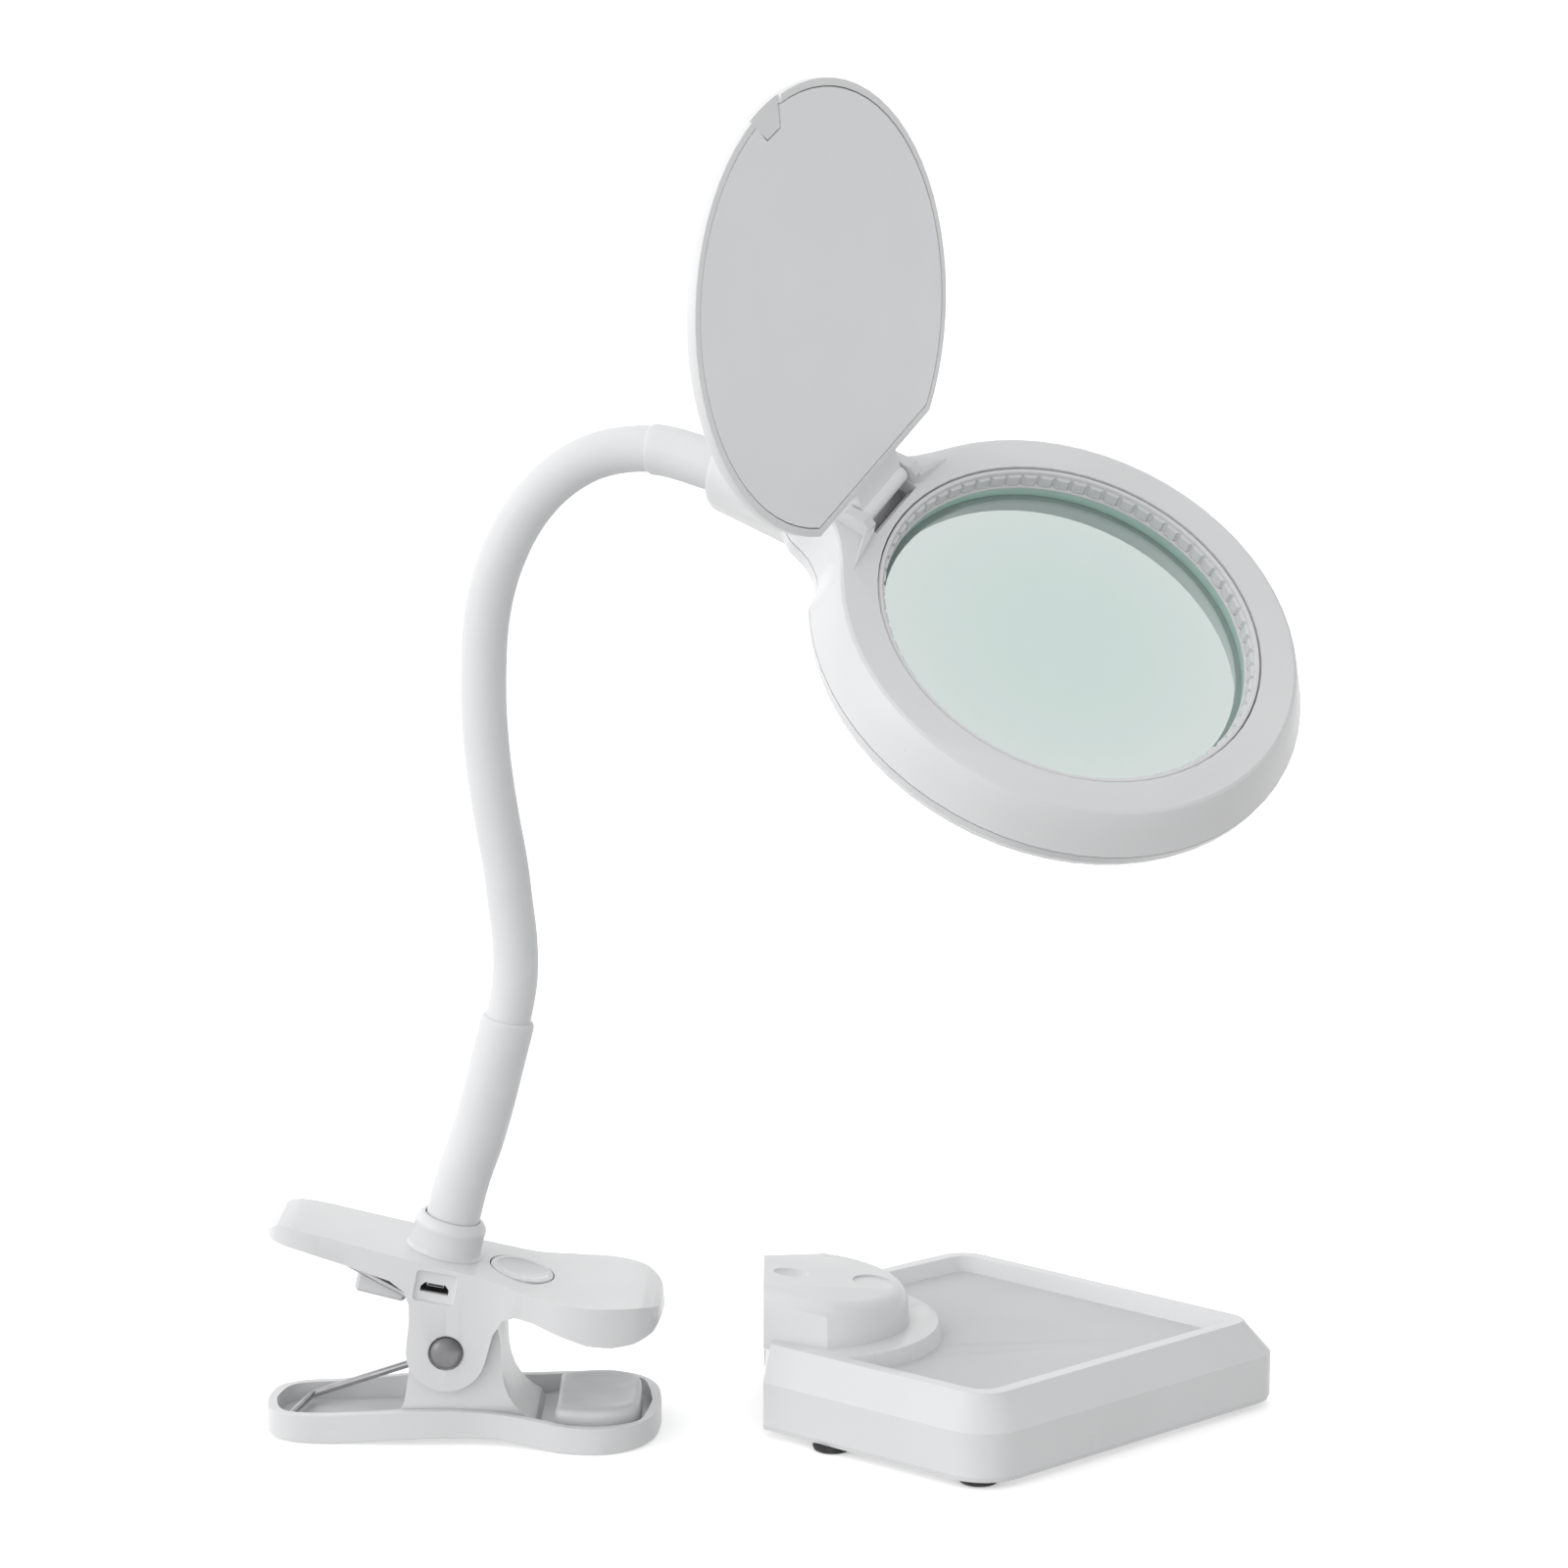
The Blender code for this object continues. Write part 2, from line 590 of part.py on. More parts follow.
def make_head_housings(head, white):
    levels = [(-0.8, 0.0), (0.0, -0.35), (2.3, -5.0), (4.6, PART_Z + GAP / 2)]
    top = loft("head_top_housing", [head_outline(g, z) for g, z in levels], parent=head)
    tail = hull("top_tail", tail_points(), parent=head)
    boolean(tail, half_space("top_half", True, head), "INTERSECT")
    boolean(top, tail, "UNION")
    boolean(top, head_cavity("top_cavity", -30, head))
    boolean(top, box("pocket_walls", (11.0, 21.2, 5.2), parent=head, loc=(-HINGE_A + 0.4, 0, -3.1)), "UNION")
    boolean(top, cylinder("top_bore", RING_IN, 60, steps=SEGMENTS, parent=head))
    pocket = box("hinge_pocket", (8.6, 18.8, 10), parent=head, loc=(-HINGE_A + 0.4, 0, 0.5))
    boolean(top, pocket)
    for side in (-1, 1):
        boolean(top, make_ear(side, head), "UNION")
    boolean(top, socket_bore("top_socket_bore", head))
    boolean(top, cylinder("ear_bore", 1.5, 23.2, "Y", parent=head, loc=(-HINGE_A, 0, HINGE_Z), steps=20))
    finish(top, white)

    levels = [(4.6, PART_Z - GAP / 2), (4.2, -12.6), (3.0, -15.0), (1.6, -HEAD_DEPTH)]
    bottom = loft("head_bottom_housing", [head_outline(g, z) for g, z in levels], parent=head)
    tail = hull("bottom_tail", tail_points(), parent=head)
    boolean(tail, half_space("bottom_half", False, head), "INTERSECT")
    boolean(bottom, tail, "UNION")
    boolean(bottom, bottom_room(head))
    boolean(bottom, cylinder("light_window", 54.3, 60, steps=SEGMENTS, parent=head, loc=(0, 0, -20)))
    boolean(bottom, socket_bore("bottom_socket_bore", head))
    for i, (x, y) in enumerate(screw_spots()):
        boolean(bottom, cylinder(f"screw_way_{i}", 0.9 + GAP, 12, parent=head, steps=12, loc=(x, y, -14)))
    finish(bottom, white)


def bottom_room(head):
    """Space of the arm in the bottom housing; the ring part is open for the light."""
    rings = [[(x, y, z) for x, y, _ in head_outline(grow, 0)] for grow, z in ((2.8, -9), (1.8, -14.2))]
    return loft("bottom_cavity", rings, parent=head)


def make_ear(side, head):
    """One hinge ear with a gusset that runs out along the lid's flat edge."""
    y = side * 10.9
    outline = [(-4.8, -1), (-3.6, 3.4), (1.6, 4.2), (3.6, 2.8), (4.2, -1)]
    ear = [(x - HINGE_A, y + w, z) for x, z in outline for w in (-1.4, 1.4)]
    block = hull(f"ear_{side}", ear, parent=head)
    fin = [(2.0, 11, -1), (5.0, 11, -1), (5.5, 22, -1), (6.2, 22, -1), (2.4, 11, 3.2), (4.2, 11, 2.4),
           (5.8, 22, 0.1)]
    fin = [(x - HINGE_A, side * y, z) for x, y, z in fin]
    return boolean(block, hull(f"fin_{side}", fin, parent=head), "UNION")


def socket_bore(name, head):
    angle = math.atan2(SOCKET_DIR[0], SOCKET_DIR[1])
    middle = (SOCKET[0] + SOCKET_DIR[0] * 14, 0, SOCKET[1] + SOCKET_DIR[1] * 14)
    return cylinder(name, TAIL_R + GAP, 34, parent=head, steps=24, loc=middle, rot=(0, angle, 0))


def make_optics(head, glass, ivory, green, frosted):
    bulge = 2.6
    high, low = -5.1, -8.4
    upper = [(LENS_R * t, high + bulge * (1 - t * t)) for t in (0, 0.2, 0.4, 0.6, 0.8, 1)]
    lower = [(r, low - (z - high)) for r, z in reversed(upper)]
    finish(turned("lens", upper + lower, SEGMENTS, parent=head), glass)
    ring = [(RING_IN - 0.7, -0.3), (RING_IN - GAP, -0.6), (RING_IN - GAP, -4.8), (42.2, -4.8), (42.2, -4.5),
            (43.1, -4.2), (43.1, -1.1), (43.5, -0.3)]
    finish(turned("lens_ring", ring, SEGMENTS, parent=head), ivory)
    seat = [(43.1, -5.1), (RING_IN - GAP, -5.1), (RING_IN + 0.2, -14.6), (46.6, -14.6), (46.6, -15.6),
            (43.4, -15.6), (41.4, -9.7), (41.4, -8.7), (43.1, -8.7)]
    finish(turned("lens_barrel", seat, SEGMENTS, parent=head), ivory)
    flat = [(53.8, -10.4), (53.8, -11.4), (46.8, -11.4), (46.8, -10.4)]
    board = turned("led_board", flat, SEGMENTS, parent=head)
    count = 24
    for i in range(count):
        t = 2 * math.pi * (i + 0.5) / count
        chip = box(f"led_{i}", (3.0, 3.6, 1.2), parent=head, rot=(0, 0, t),
                   loc=(50.3 * math.cos(t), 50.3 * math.sin(t), -11.6))
        boolean(board, chip, "UNION")
    finish(board, green)
    cover = [(54.0, -14.3), (54.0, -15.7), (46.9, -15.7), (46.9, -14.3)]
    finish(turned("diffuser_ring", cover, SEGMENTS, parent=head), frosted)


def make_lid(head, white, grey, steel):
    """The lid is modelled closed, with its hinge axis along local Y, and turned open by its parent."""
    turn = Matrix.Translation(Vector((-HINGE_A, 0, HINGE_Z)) * MM) @ Matrix.Rotation(-LID_OPEN, 4, "Y")
    hinge = empty("lid_hinge", head, turn)

    def disc(radius, chord):
        spread = math.degrees(math.acos(chord / radius))
        return arc(LID_BACK, 0, radius, 180 - spread, -180 + spread, 56)

    low, high = 0.4 - HINGE_Z, 2.8 - HINGE_Z
    cover = slab("lid_cover", disc(LID_R, LID_CHORD), low, high, parent=hinge)
    bevel(cover, 0.7, 2)
    boolean(cover, slab("lid_room", disc(LID_R - 1.7, LID_CHORD - 1.7), low - 2, high - 1.1, parent=hinge))
    knuckle = cylinder("knuckle", 2.1, 18.0, "Y", parent=hinge, steps=20)
    web = box("knuckle_web", (7.8, 18.0, high - low), parent=hinge, loc=(3.9, 0, (low + high) / 2))
    boolean(knuckle, web, "UNION")
    cut, ramp, window = thumb_shapes(low, high)
    boolean(cover, knuckle, "UNION")
    boolean(cover, hull("thumb_cut", cut, parent=hinge))
    boolean(cover, hull("thumb_ramp", ramp, parent=hinge), "UNION")
    boolean(cover, cylinder("knuckle_bore", 1.5, 30, "Y", parent=hinge, steps=20))
    finish(cover, white)
    panel = slab("lid_panel", disc(LID_R - 2.0, LID_CHORD - 2.0), low + 0.1, high - 1.4, parent=hinge)
    boolean(panel, hull("thumb_window", window, parent=hinge))
    finish(panel, grey)
    pin = cylinder("lid_hinge_pin", 1.2, 22.4, "Y", parent=head, loc=(-HINGE_A, 0, HINGE_Z), steps=16)
    finish(pin, steel)
    bend = [(-4.0, -3.1), (-4.0, -4.0), (3.6, -4.0), (4.2, -1.6), (3.4, -1.6), (2.8, -3.1)]
    leaf = slab("hinge_spring", bend, -8.6, 8.6, "Y", parent=head, loc=(-HINGE_A + 0.4, 0, 0))
    finish(leaf, steel)


def thumb_shapes(low, high):
    """Finger recess at the lid's free edge: a cut in the rim, a ramp and the panel's window."""
    r = LID_BACK + LID_R
    cut = [(r + 1.5, 7.0), (r + 1.5, -7.0), (r - 2.0, 5.4), (r - 2.0, -5.4)]
    cut = [(x, y, z) for x, y in cut for z in (low - 1, low + 0.8)]
    ramp = [(r - 1.4, y, z) for y in (-5.6, 5.6) for z in (low + 0.8, high - 1)]
    ramp += [(r - 6.4, y, z) for y in (-2.6, 2.6) for z in (low + 0.1, high - 1)]
    window = [(r, 6.4), (r, -6.4), (r - 6.8, 2.9), (r - 6.8, -2.9)]
    window = [(x, y, z) for x, y in window for z in (low - 1, high)]
    return cut, ramp, window


def screw_spots():
    """Plan positions of the two screws that hold the arm's halves together."""
    return [(-60.0, 8.6), (-60.0, -8.6)]


def make_head_screws(head, steel):
    for i, (x, y) in enumerate(screw_spots()):
        screw = cylinder(f"head_screw_{i + 1}", 0.9, 5.0, parent=head, steps=12, loc=(x, y, -13.2))
        finish(screw, steel)


# ---------------------------------------------------------------- desk base

def base_outline(inset, corner, steps=6):
    """Kite-shaped plan with its docking corner cut square, rounded at the other three corners."""
    near, nose = (52.0, 64.0), (129.2, 0.0)
    side = Vector((near[0], near[1] - 24.4)).normalized()
    front = Vector((nose[0] - near[0], nose[1] - near[1])).normalized()
    side_out = Vector((-side.y, side.x))
    front_out = Vector((-front.y, front.x))
    start = Vector((0.0, 24.4)) - side_out * inset
    start = start + side * ((inset * 0.35 - start.x) / side.x)
    p = corner_centre(Vector(near), side_out, front_out, inset + corner)
    tip = corner * 0.55
    q = Vector((nose[0] - (inset + tip) / front_out.x, 0.0))
    half = [(start.x, start.y)]
    a0 = math.degrees(math.atan2(side_out.y, side_out.x))
    a1 = math.degrees(math.atan2(front_out.y, front_out.x))
    half += arc(p.x, p.y, corner, a0, a1, steps)
    half += arc(q.x, q.y, tip, a1, 0, steps)
    return mirrored(half)


def corner_centre(corner, out_a, out_b, inset):
    """Point that lies inset inside both edges that meet at a corner."""
    cross = out_a.x * out_b.y - out_a.y * out_b.x
    da = out_a.dot(corner) - inset
    db = out_b.dot(corner) - inset
    return Vector(((da * out_b.y - db * out_a.y) / cross, (db * out_a.x - da * out_b.x) / cross))


def riser_outline(radius, back_half):
    """A round boss with a flat side running in to the docking end."""
    return mirrored([(0.0, back_half)] + arc(RISER_X, 0, radius, 85, 0, 14))


def riser_top(x, drop=0.0):
    return 34.2 - 0.112 * x - drop


def make_base(white, black, steel, rubber):
    base = empty("base_frame", matrix=Matrix.Translation(Vector(BASE_AT) * MM))
    levels = [(0.4, BASE_FOOT, 12.0), (0.0, BASE_FOOT + 1.2, 12.4), (0.0, BASE_MID, 12.4),
              (5.2, BASE_RIM, 8.5)]
    rings = [[(x, y, z) for x, y in base_outline(inset, corner)] for inset, z, corner in levels]
    tray = loft("base_tray", rings, parent=base)
    pocket = [[(x, y, z) for x, y in base_outline(inset, corner)]
              for inset, z, corner in ((9.6, FLOOR_Z, 4.5), (8.0, BASE_RIM + 1, 5.5))]
    well = loft("tray_pocket", pocket, parent=base)
    keep = hull("riser_apron", [(x, y, z) for r, z in ((31.5, FLOOR_Z - 3), (28.5, BASE_RIM + 4))
                                for x, y in riser_outline(r, r)], parent=base)
    boolean(well, keep)
    boolean(tray, well)
    boss = []
    for inset, drop in ((0.0, 15.0), (0.7, 3.4), (1.5, 1.4), (2.6, 0.4), (4.0, 0.0)):
        boss += [(x, y, riser_top(x, drop)) for x, y in riser_outline(RISER_R - inset, RISER_BACK - inset)]
    boolean(tray, hull("riser", boss, parent=base), "UNION")
    inner = [[(x, y, z) for x, y in base_outline(BASE_WALL + grow, 10.0)]
             for grow, z in ((0.0, 0.0), (0.0, BASE_MID), (2.2, FLOOR_Z - BASE_WALL))]
    boolean(tray, loft("base_hollow", inner, parent=base))
    inside = riser_outline(RISER_R - BASE_WALL, RISER_BACK - BASE_WALL)
    foot = [(max(x, BASE_WALL), y, 10) for x, y in inside]
    inside = riser_outline(RISER_R - 4.6, RISER_BACK - 4.6)
    crown = [(max(x, BASE_WALL), y, riser_top(x, 3.4)) for x, y in inside]
    boolean(tray, hull("riser_hollow", foot + crown, parent=base))
    boolean(tray, box("dock_mouth", (12, 44.0, 30.4), parent=base, loc=(0, 0, 0)))
    dimple = cylinder("riser_dimple", 5.2, 1.0, parent=base, loc=(27.1, 0, riser_top(27.1)),
                      rot=(0, math.atan(0.112), 0), steps=28)
    boolean(tray, dimple)
    scoop_at = (6.8, 0, riser_top(6.8))
    boolean(tray, uv_ball("riser_scoop", (4.4, 3.4, 1.2), parent=base, loc=scoop_at, rot=(0, 0.11, 0)))
    finish(tray, white)

    shelf = riser_outline(RISER_R - BASE_WALL - 1.8, RISER_BACK - BASE_WALL - 1.8)
    shelf = [(max(x, BASE_WALL + GAP), y) for x, y in shelf]
    finish(slab("dock_plate", shelf, 15.6, 17.6, parent=base), black)
    low = BASE_FOOT + 0.2
    plate = slab("base_bottom_plate", base_outline(BASE_WALL + GAP, 9.8), low, low + 2.0, parent=base)
    boolean(plate, box("dock_clearance", (120, 46.6, 20), parent=base, loc=(-6, 0, 0)))
    finish(plate, white)
    weight = slab("ballast_plate", base_outline(9.0, 8.0), 5.2, 10.2, parent=base)
    boolean(weight, box("ballast_clearance", (140, 46.6, 20), parent=base, loc=(-10, 0, 8)))
    finish(weight, steel)
    make_feet(base, rubber, steel)


def make_feet(base, rubber, steel):
    spots = [(16.6, -32.2), (16.6, 32.2), (50.5, -54.0), (50.5, 54.0), (112.0, 0.0)]
    profile = [(0.0, BASE_FOOT - 0.1), (4.4, BASE_FOOT - 0.1), (4.8, 0.7), (4.5, 0.0), (0.0, 0.0)]
    for i, (x, y) in enumerate(spots):
        finish(turned(f"foot_{i + 1}", profile, 24, parent=base, loc=(x, y, 0)), rubber)
    for i, (x, y) in enumerate(((44, -34), (44, 34), (84, -24), (84, 24))):
        screw = cylinder(f"base_screw_{i + 1}", 2.4, 1.0, parent=base, loc=(x, y, 1.2), steps=16)
        finish(bevel(screw, 0.3, 1), steel)


# ---------------------------------------------------------------- assembly

def head_matrix():
    n = HEAD_N.normalized()
    h = n.cross(HEAD_U).normalized()
    u = h.cross(n)
    turn = Matrix((u, h, n)).transposed().to_4x4()
    return Matrix.Translation(Vector(HEAD_CENTRE) * MM) @ turn


def main():
    white = material("white_gloss_plastic", (0.80, 0.81, 0.82), 0.32)
    ivory = material("white_ring_plastic", (0.74, 0.75, 0.76), 0.4)
    grey = material("grey_panel_plastic", (0.60, 0.61, 0.62), 0.55)
    skin = material("neck_sleeve", (0.78, 0.79, 0.80), 0.45)
    rubber = material("white_rubber", (0.72, 0.73, 0.74), 0.7)
    black = material("black_rubber", (0.02, 0.02, 0.02), 0.7)
    steel = material("steel", (0.45, 0.45, 0.46), 0.35, 1.0)
    chrome = material("satin_chrome", (0.6, 0.6, 0.61), 0.25, 1.0)
    board = material("circuit_board", (0.05, 0.22, 0.09), 0.5)
    frosted = material("frosted_plastic", (0.85, 0.86, 0.86), 0.6)
    glass = material("lens_glass", (0.72, 0.83, 0.79), 0.05)
    make_upper_jaw(white)
    make_lower_jaw(white)
    make_pads(rubber)
    make_pivot(steel, chrome)
    make_spring(chrome)
    make_controls(white, black, board, steel)
    make_collar(white)
    stations = make_neck(skin)
    for i, station in enumerate(stations):
        empty(f"neck_bend_{i + 1}", matrix=Matrix.Translation(station * MM))
    head = empty("head_frame", matrix=head_matrix())
    make_head_housings(head, white)
    make_optics(head, glass, ivory, board, frosted)
    make_lid(head, white, grey, steel)
    make_head_screws(head, steel)
    make_base(white, black, steel, black)


clear_scene()
PARTS = new_collection("magnifying_lamp")
CUTTERS = new_collection("cutters")
main()
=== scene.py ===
"""Looks of the clip-on magnifying lamp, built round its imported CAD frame.

Sizes are millimetres in the frame's own axes, turned into metres by MM. The clamp lies along X with
its jaws towards +X, and Z is up from the desk.
"""
import json
import math

import bmesh
import bpy
from mathutils import Matrix, Vector

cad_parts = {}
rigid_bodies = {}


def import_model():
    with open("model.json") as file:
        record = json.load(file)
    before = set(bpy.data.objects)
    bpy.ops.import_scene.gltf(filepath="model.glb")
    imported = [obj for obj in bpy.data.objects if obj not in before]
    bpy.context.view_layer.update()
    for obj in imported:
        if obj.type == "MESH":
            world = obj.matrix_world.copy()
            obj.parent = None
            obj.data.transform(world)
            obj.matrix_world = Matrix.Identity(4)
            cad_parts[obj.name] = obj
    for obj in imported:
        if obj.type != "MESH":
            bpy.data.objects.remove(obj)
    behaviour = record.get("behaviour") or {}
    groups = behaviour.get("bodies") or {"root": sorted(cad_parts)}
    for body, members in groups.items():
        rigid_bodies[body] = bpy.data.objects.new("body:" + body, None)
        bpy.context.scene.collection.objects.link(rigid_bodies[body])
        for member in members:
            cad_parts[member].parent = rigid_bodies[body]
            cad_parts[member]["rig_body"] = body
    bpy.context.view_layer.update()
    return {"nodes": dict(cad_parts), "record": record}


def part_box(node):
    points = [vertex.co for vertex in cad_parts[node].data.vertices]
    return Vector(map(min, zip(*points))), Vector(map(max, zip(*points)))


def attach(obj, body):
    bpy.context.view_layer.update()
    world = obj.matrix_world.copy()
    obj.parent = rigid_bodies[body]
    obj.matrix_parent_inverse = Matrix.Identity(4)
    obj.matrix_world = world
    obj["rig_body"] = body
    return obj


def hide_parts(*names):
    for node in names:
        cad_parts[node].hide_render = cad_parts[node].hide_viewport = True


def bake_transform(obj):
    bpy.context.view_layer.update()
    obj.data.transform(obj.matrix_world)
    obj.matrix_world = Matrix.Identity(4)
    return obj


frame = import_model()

MM = 0.001
NODES = frame["nodes"]
SLOTS = {part["node"]: part["material_slot"] for part in frame["record"]["subparts"]}

HEAD_CENTRE = Vector((144.9, -43.0, 203.3)) * MM     # middle of the head's top face
HEAD_U = Vector((0.834, -0.228, -0.5025))            # from the neck towards the lens
HEAD_N = Vector((0.2507, -0.6546, 0.7131))           # out of the head's top face

STEM_R = 6.5                    # stiff sleeve at the clamp
FLEX_R = 5.4                    # flexible length
TAIL_R = 5.9                    # stiff sleeve at the head
STEM_LENGTH = 62.0
TAIL_LENGTH = 19.0
SLEEVE_LIP = 1.0                # length over which a stiff sleeve's end is rounded
NECK_STATIONS = [13, 47, 82, 118, 151]      # bending stations, measured from the stem's end
NECK_SIDES = 40
SOCKET_IN = Vector((0.934, 0.0, 0.357))     # into the head's neck socket, in the head's axes
SOCKET_DEPTH = 14.0
NECK_ROUTE = [(-1.9, 0, 42.0), (0.8, 0, 52.0), (3.6, 0, 62.6), (7.1, 0, 72.4), (9.9, 0, 82.1),
              (12.4, 0, 91.8), (14.8, 0, 101.4), (16.6, 0, 111.0), (16.7, 0, 120.6),
              (15.7, 0, 130.1), (14.6, 0, 139.6), (13.0, 0, 149.1), (11.6, 0, 158.5),
              (10.6, 0, 167.9), (10.1, 0, 177.3), (10.2, 0, 186.6), (10.8, 0.1, 195.9),
              (12.5, 0.4, 205.1), (15.6, 0.7, 214.0), (20.3, 0.9, 222.6), (26.8, 0.8, 229.9),
              (34.9, -0.1, 235.2), (44.0, -1.9, 237.7), (53.6, -5.0, 237.6), (67.2, -10.7, 233.9)]

RING_TABS = 68
RING_TAB_SAMPLES = 8            # points round the ring for one tab and its groove
RING_TAB_RISE = 0.75

PIVOT_Z = 23.0
COIL_R = 6.3
COIL_HALF = 8.2                 # half the coil's length along the pivot
COIL_TURNS = 7
WIRE_R = 0.95
LOWER_LEG = 39.3

HEAD_SCREW = (0.9, 5.0)         # radius and length
BASE_SCREW = (2.4, 1.0)
SCREW_SIDES = 32

TRAY_FLOOR_Z = 17.7
EASE_ANGLE = 32                 # degrees between faces from which an edge counts as hard


# ---------------------------------------------------------------- materials

class Look:
    """A Principled material with object-space texture nodes."""

    def __init__(self, name, color, roughness, metallic=0.0, **settings):
        self.mat = bpy.data.materials.new(name)
        self.mat.use_nodes = True
        self.tree = self.mat.node_tree
        self.shader = self.tree.nodes["Principled BSDF"]
        self.color = color
        self.set(self.shader, "Base Color", (*color, 1.0))
        self.set(self.shader, "Roughness", roughness)
        self.set(self.shader, "Metallic", metallic)
        for key, value in settings.items():
            self.set(self.shader, key.replace("_", " "), value)
        self.place = self.tree.nodes.new("ShaderNodeTexCoord").outputs["Object"]
        self.height = None

    def set(self, node, name, value):
        node.inputs[name].default_value = value

    def link(self, out, socket):
        self.tree.links.new(out, socket)

    def stretched(self, scale):
        """Object coordinates scaled apart along X, Y and Z."""
        node = self.tree.nodes.new("ShaderNodeMapping")
        node.inputs["Scale"].default_value = scale
        self.link(self.place, node.inputs["Vector"])
        return node.outputs["Vector"]

    def noise(self, size_mm, detail=3.0, rough=0.5, vector=None):
        """A noise value whose largest features are about the given size."""
        node = self.tree.nodes.new("ShaderNodeTexNoise")
        self.set(node, "Scale", 1000.0 / size_mm)
        self.set(node, "Detail", detail)
        self.set(node, "Roughness", rough)
        self.link(vector or self.place, node.inputs["Vector"])
        return node.outputs["Fac"]

    def remap(self, value, low, high, out_low, out_high):
        """Turns the range from low to high into another range, clamped at both ends."""
        node = self.tree.nodes.new("ShaderNodeMapRange")
        self.set(node, "From Min", low)
        self.set(node, "From Max", high)
        self.set(node, "To Min", out_low)
        self.set(node, "To Max", out_high)
        self.link(value, node.inputs["Value"])
        return node.outputs["Result"]

    def tint(self, value, color, low=0.35, high=0.65):
        """Mixes the base colour towards another where a value is high."""
        node = self.tree.nodes.new("ShaderNodeMix")
        node.data_type = "RGBA"
        self.link(self.remap(value, low, high, 0.0, 1.0), node.inputs[0])
        node.inputs[6].default_value = (*self.color, 1.0)
        node.inputs[7].default_value = (*color, 1.0)
        self.link(node.outputs[2], self.shader.inputs["Base Color"])

    def gloss(self, value, smooth, dull, low=0.3, high=0.7):
        """Varies the roughness with a value."""
        self.link(self.remap(value, low, high, smooth, dull), self.shader.inputs["Roughness"])

    def bump(self, value, depth_mm, strength=1.0):
        """Adds relief, stacking on any bump already there."""
        node = self.tree.nodes.new("ShaderNodeBump")
        self.set(node, "Distance", depth_mm * MM)
        self.set(node, "Strength", strength)
        self.link(value, node.inputs["Height"])
        if self.height is not None:
            self.link(self.height, node.inputs["Normal"])
        self.height = node.outputs["Normal"]
        self.link(self.height, self.shader.inputs["Normal"])


def moulded(name, color, roughness, coat=0.0):
    """Moulded plastic: faint flow tone, handling marks in the gloss, orange peel and slight sink."""
    look = Look(name, color, roughness, Specular_IOR_Level=0.5, Coat_Weight=coat, Coat_Roughness=0.12)
    look.tint(look.noise(38, 2), tuple(c * 0.965 for c in color))
    look.gloss(look.noise(20, 3, 0.5), roughness - 0.03, roughness + 0.07)
    look.bump(look.noise(18, 1), 0.04, 0.5)
    look.bump(look.noise(0.7, 2, 0.5), 0.004, 0.5)
    return look.mat


def grey_panel():
    look = Look("grey_panel", (0.86, 0.864, 0.878), 0.5)
    look.tint(look.noise(30, 2), (0.845, 0.85, 0.862))
    look.gloss(look.noise(9, 4), 0.44, 0.58)
    look.bump(look.noise(0.35, 2), 0.01, 0.5)
    return look.mat


def neck_sleeve():
    look = Look("neck_sleeve", (0.69, 0.694, 0.702), 0.42)
    look.tint(look.noise(24, 3), (0.665, 0.67, 0.678))
    look.gloss(look.noise(6, 4), 0.38, 0.52)
    look.bump(look.noise(4, 2, 0.5, look.stretched((1, 1, 0.3))), 0.03, 0.4)
    look.bump(look.noise(0.5, 3), 0.01, 0.5)
    return look.mat


def white_rubber():
    look = Look("white_rubber", (0.66, 0.662, 0.675), 0.42, Coat_Weight=0.15, Coat_Roughness=0.3)
    look.tint(look.noise(7, 3, 0.5, look.stretched((0.35, 1, 1))), (0.60, 0.602, 0.615))
    look.gloss(look.noise(5, 3), 0.36, 0.52)
    look.bump(look.noise(5, 2, 0.5, look.stretched((0.4, 1, 1))), 0.12, 0.6)
    look.bump(look.noise(0.5, 2), 0.006, 0.6)
    return look.mat


def black_rubber():
    look = Look("black_rubber", (0.018, 0.018, 0.019), 0.7)
    look.tint(look.noise(3, 4), (0.035, 0.034, 0.033))
    look.gloss(look.noise(2, 3), 0.6, 0.85)
    look.bump(look.noise(0.3, 4), 0.02, 0.7)
    return look.mat


def black_plastic():
    look = Look("black_plastic", (0.015, 0.015, 0.016), 0.4)
    look.gloss(look.noise(2, 3), 0.3, 0.5)
    look.tint(look.noise(4, 3), (0.026, 0.026, 0.027))
    look.bump(look.noise(0.25, 3), 0.01, 0.6)
    return look.mat


def steel():
    look = Look("steel", (0.47, 0.47, 0.48), 0.3, 1.0)
    look.gloss(look.noise(1.2, 4, 0.6, look.stretched((1, 12, 12))), 0.22, 0.42)
    look.tint(look.noise(6, 3), (0.40, 0.40, 0.41))
    look.bump(look.noise(0.3, 2, 0.5, look.stretched((1, 10, 10))), 0.004, 0.5)
    return look.mat


def satin_chrome():
    look = Look("satin_chrome", (0.215, 0.215, 0.22), 0.3, 1.0)
    look.gloss(look.noise(1.5, 4), 0.26, 0.38)
    look.tint(look.noise(5, 3), (0.19, 0.19, 0.195))
    look.bump(look.noise(0.4, 3), 0.003, 0.5)
    return look.mat


def bright_wire():
    look = Look("bright_wire", (0.46, 0.46, 0.47), 0.12, 1.0)
    look.gloss(look.noise(1.0, 4), 0.08, 0.2)
    look.tint(look.noise(4, 3), (0.38, 0.38, 0.39))
    look.bump(look.noise(0.5, 2, 0.5, look.stretched((0.2, 1, 1))), 0.003, 0.5)
    return look.mat


